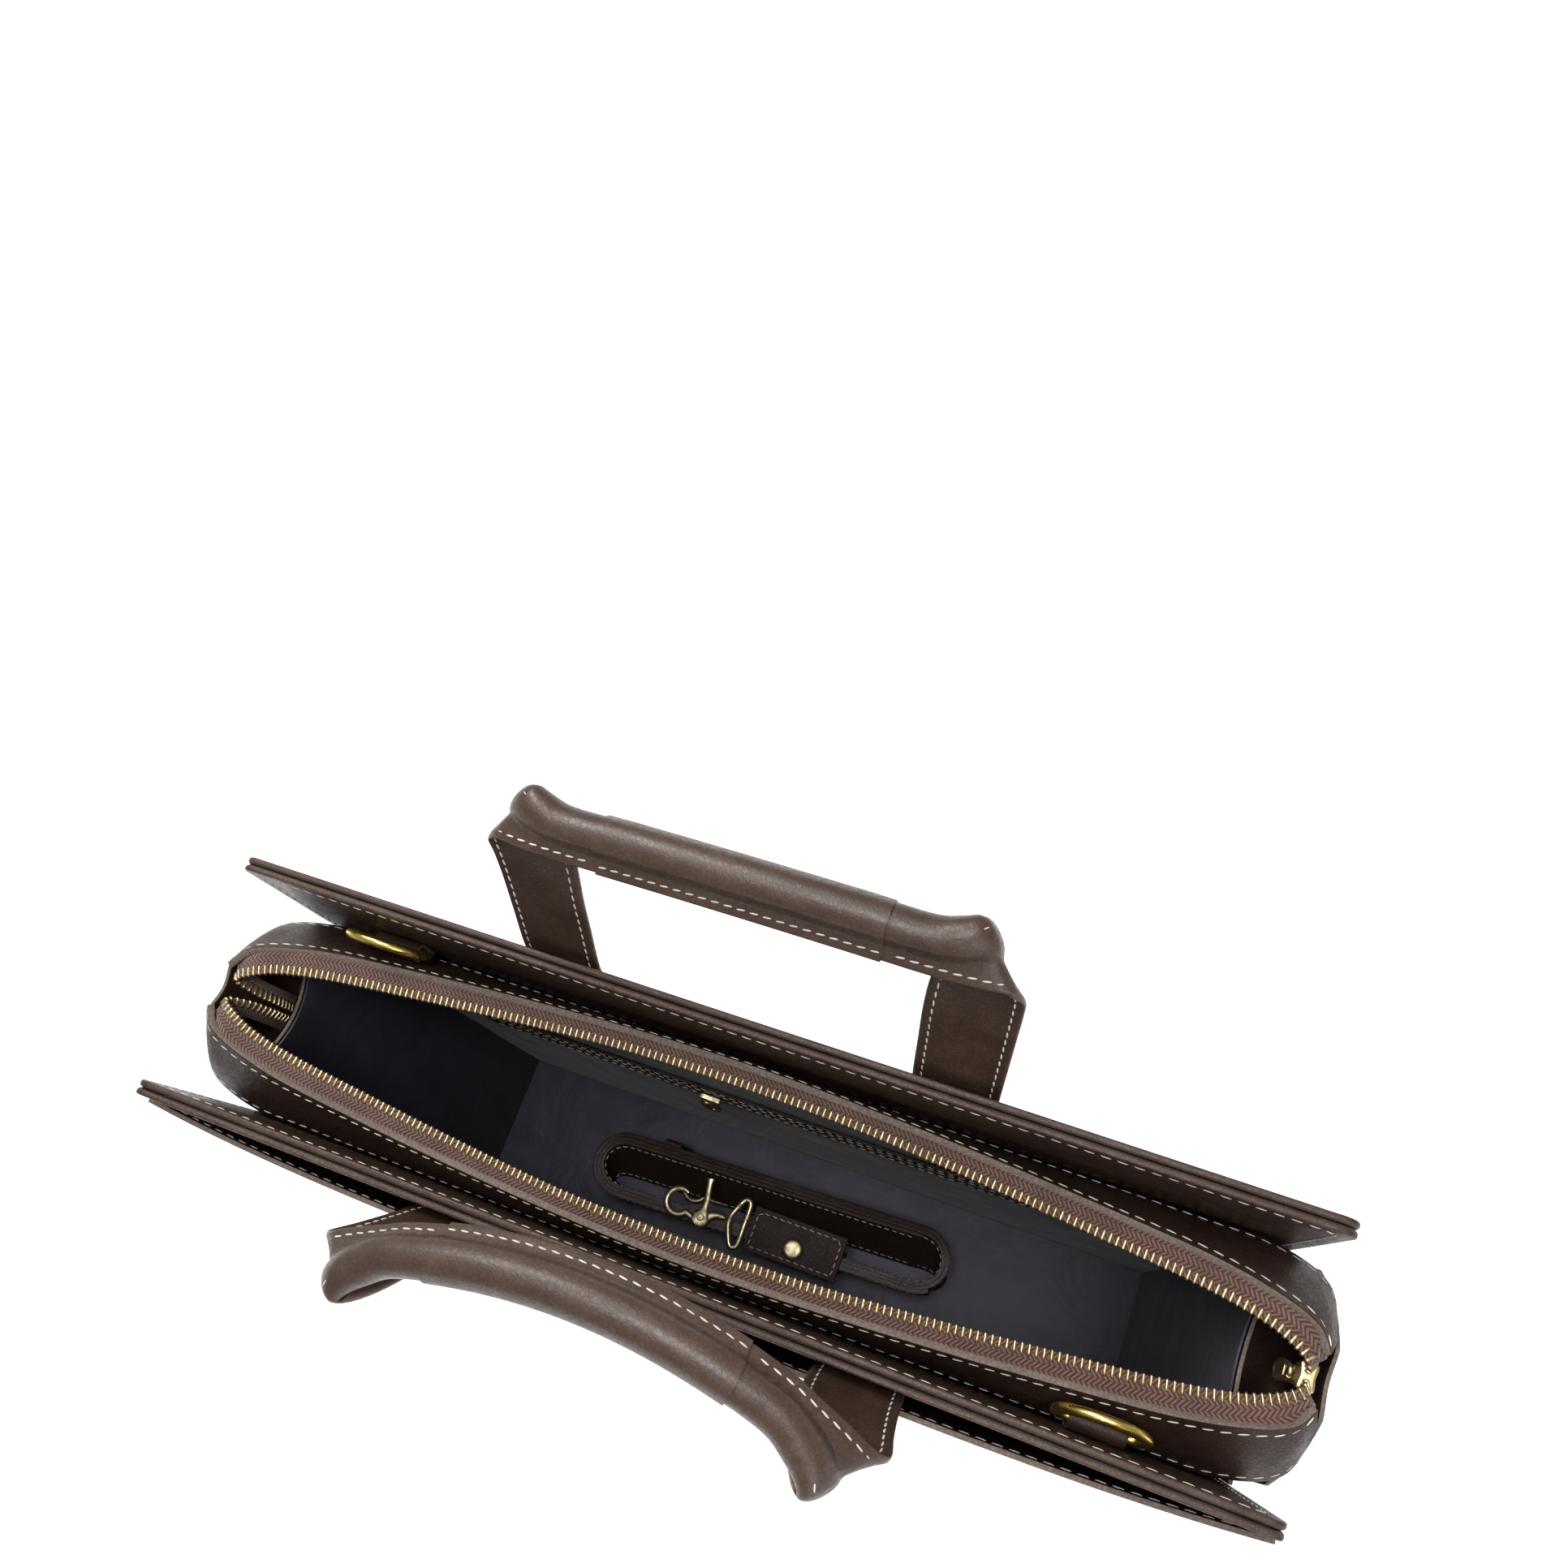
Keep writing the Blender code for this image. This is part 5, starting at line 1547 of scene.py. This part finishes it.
class BriefcaseHandles(bpy.types.Operator):
    """Two handles: flat straps that fold and roll into a padded grip, with a sewn sleeve"""

    bl_idname = "briefcase.handles"
    bl_label = "Handles"

    def execute(self, context):
        self.handle("rear", 1, self.keys_rear())
        self.handle("front", -1, self.keys_front())
        return {"FINISHED"}

    # A key is (along, out from the hinge, up from the hinge, width direction x, out, up, width, fold).
    # It stands on the strap's outer edge, which becomes the sewn edge of the grip.
    def keys_rear(self):
        lean = math.radians(20.6)
        s, c = math.sin(lean), math.cos(lean)
        anchor = [(88, 0.0, up, -1, 0, 0, 30, 0) for up in (-57.5, -30.0, -6.0)]
        leg = [(88, at * s, at * c, -1, 0, 0, 30, 0) for at in (6, 26, 43)]
        corner = [
            (88.0, 18.8, 52.0, -0.985, 0.14, 0.10, 29.5, 0.02),
            (87.5, 20.0, 59.5, -0.85, 0.42, 0.32, 27.5, 0.15),
            (84.0, 19.7, 64.3, -0.60, 0.64, 0.48, 25, 0.4),
            (77.0, 18.9, 66.0, -0.38, 0.74, 0.555, 22.5, 0.7),
            (68.0, 18.3, 66.3, -0.18, 0.787, 0.59, 20, 0.92),
        ]
        grip = [(at, 18.1, 67.2 - 2 * (at / 80) ** 2, 0, 0.8, 0.6, 18, 1) for at in (57, 38, 19, 0)]
        return [*anchor, *leg, *corner, *grip]

    def keys_front(self):
        anchor = [(88, 0.0, up, -1, 0, 0, 30, 0) for up in (-57.5, -30.0, -6.0)]
        leg = [(x, out, up, -1, 0, 0, 30, 0) for x, out, up in ((88, 1.2, 5), (88.3, 5.4, 20), (89.2, 9.5, 34))]
        corner = [
            (90.2, 12.0, 43, -0.98, 0.16, 0.10, 29.5, 0.03),
            (89.5, 12.8, 49, -0.84, 0.45, 0.30, 27.5, 0.18),
            (85.5, 11.2, 52.6, -0.60, 0.68, 0.43, 25, 0.45),
            (78.0, 8.0, 54.8, -0.36, 0.79, 0.49, 22, 0.75),
            (69.0, 4.4, 57.2, -0.15, 0.84, 0.52, 19.6, 0.94),
        ]
        grip = [
            (at, 0.7 + 17 * (at / 80) ** 2 - 9.6, 67 - 13 * (at / 80) ** 2, 0, 0.85, 0.53, 18, 1)
            for at in (58, 40, 20, 0)
        ]
        return [*anchor, *leg, *corner, *grip]

    def handle(self, name, side, half_keys):
        joint = JOINTS[f"{name}_handle_hinge"]
        hinge = Vector(joint["pos_m"])
        mirrored = [(-k[0], k[1], k[2], -k[3], *k[4:]) for k in half_keys[:-1]]
        keys = np.array([*mirrored, *half_keys[::-1]])
        scale = np.array([MM, MM, MM, 1, 1, 1, MM, 1])
        samples = curve_at(keys * scale, np.linspace(0, 1, 420))
        middle = samples[:, :3] + samples[:, 3:6] * 9 * MM
        run = np.concatenate([[0], np.cumsum(np.linalg.norm(np.diff(middle, axis=0), axis=1))])
        steps = 260
        at = np.linspace(0, run[-1], steps + 1)
        samples = np.stack([np.interp(at, run, samples[:, i]) for i in range(8)], axis=1)
        edge = np.stack([samples[:, 0], hinge.y + side * samples[:, 1], hinge.z + samples[:, 2]], axis=1)
        wide = unit(np.stack([samples[:, 3], side * samples[:, 4], samples[:, 5]], axis=1))
        width, fold = samples[:, 6], np.clip(samples[:, 7], 0, 1)
        ahead = tangents(edge + wide * (width / 2)[:, None])
        normal = unit(np.cross(wide, ahead))
        strap, inset, extra_sleeve = 2.4 * MM, 3.2 * MM, 0.7 * MM

        def place_with(extra, first, last):
            def place(u, v):
                i = np.clip(np.rint(first + v * (last - first)).astype(int), 0, steps)
                turn = u * 2 * math.pi
                share = (1 - np.cos(turn)) / 2
                length = width[i] + extra
                c = share * length
                thick = (half_thickness(c, length, fold[i], strap) + extra) * np.sign(np.sin(turn))
                thick = np.where(np.abs(np.sin(turn)) < 1e-6, 0, thick)
                c = c - extra * 0.5
                return edge[i] + wide[i] * c[:, None] + normal[i] * thick[:, None]

            return place

        body = f"{name}_handle"

        def rubbed(u, v):
            i = np.clip(np.rint(v * steps).astype(int), 0, steps)
            share = (1 - np.cos(u * 2 * math.pi)) / 2
            near = np.where(fold[i] > 0.5, share, np.minimum(share, 1 - share)) * width[i]
            return 1 - near / (1.0 * MM)

        def plain(u, v):
            return np.zeros(len(u))

        finish = (grip_leather(),)
        whole = place_with(0, 0, steps)
        leather = self.tube(f"{name}_handle_leather", whole, 48, steps, finish, rubbed)
        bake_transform(leather)
        nodes = [f"{name}_handle_{part}_{at}" for part in ("strap", "anchor") for at in ("left", "right")]
        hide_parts(*nodes, f"{name}_handle_grip")

        inside = np.flatnonzero(np.abs(edge[:, 0]) < 46.5 * MM)
        inside = inside[fold[inside] > 0.6]
        first, last = int(inside[0]), int(inside[-1])
        over = place_with(extra_sleeve, first, last)
        sleeve = self.tube(f"{name}_handle_sleeve", over, 48, last - first, finish, plain)
        stand_for(sleeve, (), body, f"{name}_handle_grip")
        self.core(name, body, edge + wide * (width - GRIP_RADIUS)[:, None], first, last)

        rows = []
        out_side = 1.0 if np.dot(normal[steps // 2], (0, side, 1)) > 0 else -1.0
        grip_rows = np.arange(first, last + 1)
        for face in (1.0, -1.0):
            c = 2.9 * MM
            across = np.full(len(grip_rows), c + extra_sleeve)
            rise = half_thickness(across, width[grip_rows] + extra_sleeve, fold[grip_rows], strap) + 0.62 * MM
            points = edge[grip_rows] + wide[grip_rows] * c + normal[grip_rows] * (face * rise)[:, None]
            rows.append((points, normal[grip_rows] * face))
        for part in (np.arange(2, first - 1), np.arange(last + 2, steps - 1)):
            for face in (1.0, -1.0):
                for far in (False, True):
                    use = part[fold[part] < 0.75] if far else part
                    c = width[use] - inset if far else np.full(len(use), inset)
                    rise = half_thickness(c, width[use], fold[use], strap)
                    points = edge[use] + wide[use] * c[:, None] + normal[use] * (face * rise)[:, None]
                    rows.append((points, normal[use] * face))
        seams = stitches(f"{name}_handle_stitching", rows, pitch=sizes().fine_pitch, slant=6 * out_side)
        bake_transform(seams)

    def core(self, name, body, middle, first, last):
        """The cotton rope that fills the grip."""
        path = even_steps(middle[first - 6 : last + 7], count=80)
        piece = swept(f"{name}_handle_rope", path, round_section(4.6 * MM), (cotton_rope(),))
        stand_for(piece, (f"{name}_handle_core",), body)

    def tube(self, name, place, around, along, materials, rubbed):
        piece = shaped_grid(name, around, along, place, (0.04, 0.4), rubbed)
        close_tube(piece, True)
        return finish_shape(piece, materials, 50)


# ---------------------------------------------------------------- shoulder strap and hook


class BriefcaseShoulderStrap(bpy.types.Operator):
    """The coiled shoulder strap, its keepers, end tab and rivet"""

    bl_idname = "briefcase.shoulder_strap"
    bl_label = "Shoulder strap"

    def execute(self, context):
        self.centre = (-15 * MM, -4 * MM)
        self.askew = math.radians(2.4)
        self.coil()
        for node in ("strap_keeper_rear_left", "strap_keeper_front_right"):
            self.keeper(node)
        self.tab()
        self.rivet()
        return {"FINISHED"}

    def coil(self):
        """The strap wound three times on its edge. Its far run has slumped, so that its face looks up."""
        foot, head = COIL_LOW.z, COIL_HIGH.z
        thick = 2.6 * MM
        turns = 2.9
        count = 420
        t = np.linspace(0, 1, count)
        angle = t * turns * 2 * math.pi
        inset = 1.5 * MM + (1 - t) * 5.9 * MM
        half_length, half_width = 103 * MM, 19 * MM
        slump = 22 * MM
        line = []
        for a, gap in zip(angle, inset):
            line.append(self.on_loop(a / (2 * math.pi) % 1.0, half_length - gap, half_width - gap))
        path = even_steps(np.array(line), count=count)
        ahead = tangents(path)
        both = np.hstack([path, np.stack([-ahead[:, 1], ahead[:, 0]], axis=1)])

        def place(u, v):
            at = between(both, u)
            lean = 0.35 * MM * ripple(9 * u, 0.0, 6.0) * (v - 0.5)
            drop = 0.9 * MM * ripple(5 * u, 0.0, 3.0)
            z = foot + (head - foot) * v + np.where(v > 0.5, np.minimum(drop, 0) - 0.1 * MM, 0) * v
            xy = at[:, :2] + at[:, 2:] * lean[:, None]
            behind = np.clip((xy[:, 1] + half_width) / (2 * half_width), 0, 1)
            xy[:, 1] -= (1 - v) * slump * behind**1.6
            c, s = math.cos(self.askew), math.sin(self.askew)
            x = self.centre[0] + xy[:, 0] * c - xy[:, 1] * s
            y = self.centre[1] + xy[:, 0] * s + xy[:, 1] * c
            return np.stack([x, y, z], axis=1)

        length = float(np.linalg.norm(np.diff(path, axis=0), axis=1).sum())
        leathers, measure = (strap_leather(), dark_edge()), (length, head - foot)
        piece = sheet("shoulder_strap_leather", count - 1, 10, place, thick, leathers, measure, 0.3 * MM)
        stand_for(piece, ("shoulder_strap_coil",), "shoulder_strap")
        u = np.linspace(0.004, 0.996, 1500)
        rows = [surface_row(place, u, at, face, thick / 2) for at in (0.09, 0.91) for face in (1.0, -1.0)]
        seams = stitches("shoulder_strap_stitching", rows, pitch=4.2 * MM, small=0.8)
        stand_for(seams, (), "shoulder_strap", "shoulder_strap_coil")

    def on_loop(self, share, half_length, half_width):
        """A point on a flat-sided loop, by its share of the way round."""
        straight = 2 * (half_length - half_width)
        bend = math.pi * half_width
        total = 2 * (straight + bend)
        at = share * total
        x0 = straight / 2
        if at < straight:
            return (x0 - at, half_width)
        at -= straight
        if at < bend:
            a = math.pi / 2 + at / half_width
            return (-x0 + half_width * math.cos(a), half_width * math.sin(a))
        at -= bend
        if at < straight:
            return (-x0 + at, -half_width)
        at -= straight
        a = -math.pi / 2 + at / half_width
        return (x0 + half_width * math.cos(a), half_width * math.sin(a))

    def keeper(self, node):
        low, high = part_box(node)
        centre = (low + high) / 2
        half_y = (high.y - low.y) / 2 - 0.75 * MM
        half_z = (high.z - low.z) / 2 - 0.75 * MM
        wide = 9.6 * MM
        corner = 1.6 * MM
        turn = np.linspace(0, 2 * math.pi, 97)[:-1]
        flat = np.stack([np.cos(turn), np.sin(turn)], axis=1)
        power = 0.22
        line = np.sign(flat) * np.abs(flat) ** power * np.array([half_y - 0.1 * corner, half_z])
        line = np.vstack([line, line[:1]])

        def place(u, v):
            i = np.rint(v * 96).astype(int)
            return np.stack([centre.x + (u - 0.5) * wide, centre.y + line[i, 0], centre.z + line[i, 1]], axis=1)

        leathers = (strap_leather(), cut_edge())
        piece = sheet(f"{node}_leather", 6, 96, place, 1.3 * MM, leathers, (0.01, 0.08), 0.2 * MM)
        stand_for(piece, (node,), "shoulder_strap")

    def tab(self):
        low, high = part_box("strap_tab")
        piece = board("strap_tab_leather", low, high, 5 * MM, 0.6 * MM, (strap_leather(),), top_only=False)
        stand_for(piece, ("strap_tab",), "shoulder_strap")
        inset = 2.6 * MM
        a, b = low.x + inset, high.x - inset
        c, d = low.y + inset, high.y - inset
        line = even_steps([(a, c), (b, c), (b, d), (a, d), (a, c)], 1 * MM)
        points = np.hstack([line, np.full((len(line), 1), high.z)])
        row = (points, np.tile((0.0, 0.0, 1.0), (len(points), 1)))
        seams = stitches("strap_tab_stitching", [row], pitch=sizes().fine_pitch, small=0.85)
        stand_for(seams, (), "shoulder_strap", "strap_tab")

    def rivet(self):
        low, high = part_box("tab_rivet")
        centre = (low + high) / 2
        radius = (high.x - low.x) / 2
        clear_selection()
        foot = (centre.x, centre.y, low.z)
        bpy.ops.mesh.primitive_uv_sphere_add(segments=40, ring_count=20, radius=radius, location=foot)
        piece = name_piece("tab_rivet_cap")
        with editing(piece):
            bpy.ops.mesh.bisect(plane_co=foot, plane_no=(0, 0, -1), clear_outer=True, use_fill=True)
        points = points_of(piece)
        points[:, 2] = np.clip(points[:, 2] * (high.z - low.z) / radius * 1.25, 0, high.z - low.z - 0.15 * MM)
        set_points(piece, points)
        soften(piece, "Rim", 0.25 * MM, 2, 40)
        finish_shape(piece, (hook_brass(),), 40)
        stand_for(piece, ("tab_rivet",), "shoulder_strap")


class BriefcaseSnapHook(bpy.types.Operator):
    """Wire loop, swivelling trigger hook, its lever and pin, and the second hook inside the coil"""

    bl_idname = "briefcase.snap_hook"
    bl_label = "Snap hook"

    def execute(self, context):
        swivel = Vector(JOINTS["hook_swivel"]["pos_m"])
        self.wire_loop()
        self.body(swivel)
        self.lever()
        self.pin()
        self.second()
        return {"FINISHED"}

    def wire_loop(self):
        low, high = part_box("hook_loop")
        r = 1.6 * MM
        y, z = (low.y + high.y) / 2, (low.z + high.z) / 2
        a, b = high.x - r, low.x + r
        wide = (high.y - low.y) / 2 - r
        key = [
            (a, 0),
            (a, wide * 0.75),
            (a - 1.2 * MM, wide * 0.98),
            (a - 4 * MM, wide * 0.96),
            (b + 1.5 * MM, wide * 0.50),
            (b, 2.2 * MM),
            (b, 0),
        ]
        key += [(px, -py) for px, py in key[-2:0:-1]]
        loop = curve_at(np.array([(px, y + py, z) for px, py in [*key, key[0]]]), np.linspace(0, 1, 121))[:-1]
        piece = swept("hook_loop_wire", loop, round_section(r), (hook_brass(),), True)
        stand_for(piece, ("hook_loop",), "shoulder_strap")

    def body(self, swivel):
        low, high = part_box("hook_body")
        z = (low.z + high.z) / 2
        y = swivel.y
        eye_x, eye_r = -61 * MM, 8.6 * MM - 1.7 * MM
        turn = np.radians(np.linspace(58, 322, 60))
        eye = [(eye_x + eye_r * math.cos(a), y + eye_r * math.sin(a), z) for a in turn]
        bends = ((11, 5.6), (15, 4.4), (21, 0.6), (26, 0))
        shank = [(eye_x + along * MM, y - out * MM, z) for along, out in bends]
        path = even_steps(curve_at(np.array([*eye, *shank]), np.linspace(0, 1, 500)), count=110)

        def section(s, angle):
            swell = 1.75 + 1.5 * np.exp(-(((s - 0.80) / 0.09) ** 2)) - 0.5 * np.clip(1 - s / 0.08, 0, 1)
            return swell * MM * np.cos(angle), np.minimum(swell, 1.42) * MM * np.sin(angle)

        piece = swept("hook_body_cast", path, section, (hook_brass(),))
        stand_for(piece, ("hook_body",), "hook")
        collar = [(swivel.x - 5.5 * MM + 4.6 * MM * t, y, z) for t in np.linspace(0, 1, 25)]

        def turned(s, angle):
            r = (1.9 + 0.75 * (np.abs(s - 0.25) < 0.14) + 0.5 * (np.abs(s - 0.75) < 0.12)) * MM * 0.75
            return r * np.cos(angle), r * np.sin(angle)

        post = swept("hook_swivel_post", collar, turned, (hook_brass(),), up=(0, 0, 1))
        stand_for(post, (), "hook", "hook_body")

    def lever(self):
        low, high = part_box("hook_lever")
        pivot = Vector(JOINTS["hook_lever_hinge"]["pos_m"])
        z = (low.z + high.z) / 2
        keys = [
            (pivot.x - 3.0 * MM, pivot.y - 3.2 * MM, z),
            (pivot.x - 0.4 * MM, pivot.y, z),
            (pivot.x + 0.2 * MM, pivot.y + 8 * MM, z),
            (pivot.x - 1.0 * MM, pivot.y + 15 * MM, z),
            (pivot.x - 2.0 * MM, high.y - 1.2 * MM, z),
        ]
        path = even_steps(curve_at(np.array(keys), np.linspace(0, 1, 200)), count=60)

        def section(s, angle):
            wide = 1.7 + 3.4 * np.exp(-(((s - 0.14) / 0.15) ** 2)) + 0.6 * np.exp(-(((s - 1.0) / 0.06) ** 2))
            return wide * MM * np.cos(angle), 0.95 * MM * np.sin(angle)

        piece = swept("hook_lever_cast", path, section, (hook_brass(),))
        stand_for(piece, ("hook_lever",), "hook_lever")

    def pin(self):
        low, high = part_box("hook_pin")
        centre = (low + high) / 2
        clear_selection()
        radius, depth = (high.x - low.x) / 2, high.z - low.z
        bpy.ops.mesh.primitive_cylinder_add(vertices=28, radius=radius, depth=depth, location=centre)
        piece = name_piece("hook_pin_head")
        soften(piece, "Dome", 0.42 * MM, 4, 40)
        finish_shape(piece, (hook_brass(),), 60)
        stand_for(piece, ("hook_pin",), "hook")

    def second(self):
        low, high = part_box("second_hook")
        z = (low.z + high.z) / 2
        y = (low.y + high.y) / 2
        r = 7 * MM
        eye_x = low.x + r + 1.7 * MM
        turn = np.radians(np.linspace(40, 330, 50))
        path = [(eye_x + r * math.cos(a), y + r * math.sin(a), z) for a in turn]
        path += [(eye_x + 14 * MM, y - 2.5 * MM, z), (high.x - 3 * MM, y, z)]
        path = even_steps(curve_at(np.array(path), np.linspace(0, 1, 400)), count=80)

        def section(s, angle):
            swell = 1.5 + 1.2 * np.exp(-(((s - 0.82) / 0.1) ** 2))
            return swell * MM * np.cos(angle), 1.5 * MM * np.sin(angle)

        piece = swept("second_hook_cast", path, section, (hook_brass(),))
        stand_for(piece, ("second_hook",), "shoulder_strap")


# ---------------------------------------------------------------- panel and registration


STEPS = (
    BriefcaseStage,
    BriefcasePanels,
    BriefcaseBase,
    BriefcaseFrontPocket,
    BriefcaseMainZip,
    BriefcaseLining,
    BriefcaseInnerPocket,
    BriefcaseStrapRings,
    BriefcaseHandles,
    BriefcaseShoulderStrap,
    BriefcaseSnapHook,
)


class VIEW3D_PT_briefcase(bpy.types.Panel):
    """Lists the briefcase's pieces, sizes and colours"""

    bl_idname = "VIEW3D_PT_briefcase"
    bl_label = "Leather Briefcase"
    bl_space_type = "VIEW_3D"
    bl_region_type = "UI"
    bl_category = "Briefcase"

    def draw(self, context):
        layout = self.layout
        for settings in (context.scene.briefcase_sizes, context.scene.briefcase_colours):
            box = layout.box()
            for key in settings.__annotations__:
                box.prop(settings, key)
        for step in STEPS:
            layout.operator(step.bl_idname)


CLASSES = (BriefcaseSizes, BriefcaseColours, *STEPS, VIEW3D_PT_briefcase)


def register():
    for kind in CLASSES:
        bpy.utils.register_class(kind)
    bpy.types.Scene.briefcase_sizes = bpy.props.PointerProperty(type=BriefcaseSizes)
    bpy.types.Scene.briefcase_colours = bpy.props.PointerProperty(type=BriefcaseColours)


def unregister():
    del bpy.types.Scene.briefcase_colours
    del bpy.types.Scene.briefcase_sizes
    for kind in reversed(CLASSES):
        bpy.utils.unregister_class(kind)


def main():
    register()
    for step in STEPS:
        group, name = step.bl_idname.split(".")
        getattr(getattr(bpy.ops, group), name)()


if __name__ == "__main__":
    main()
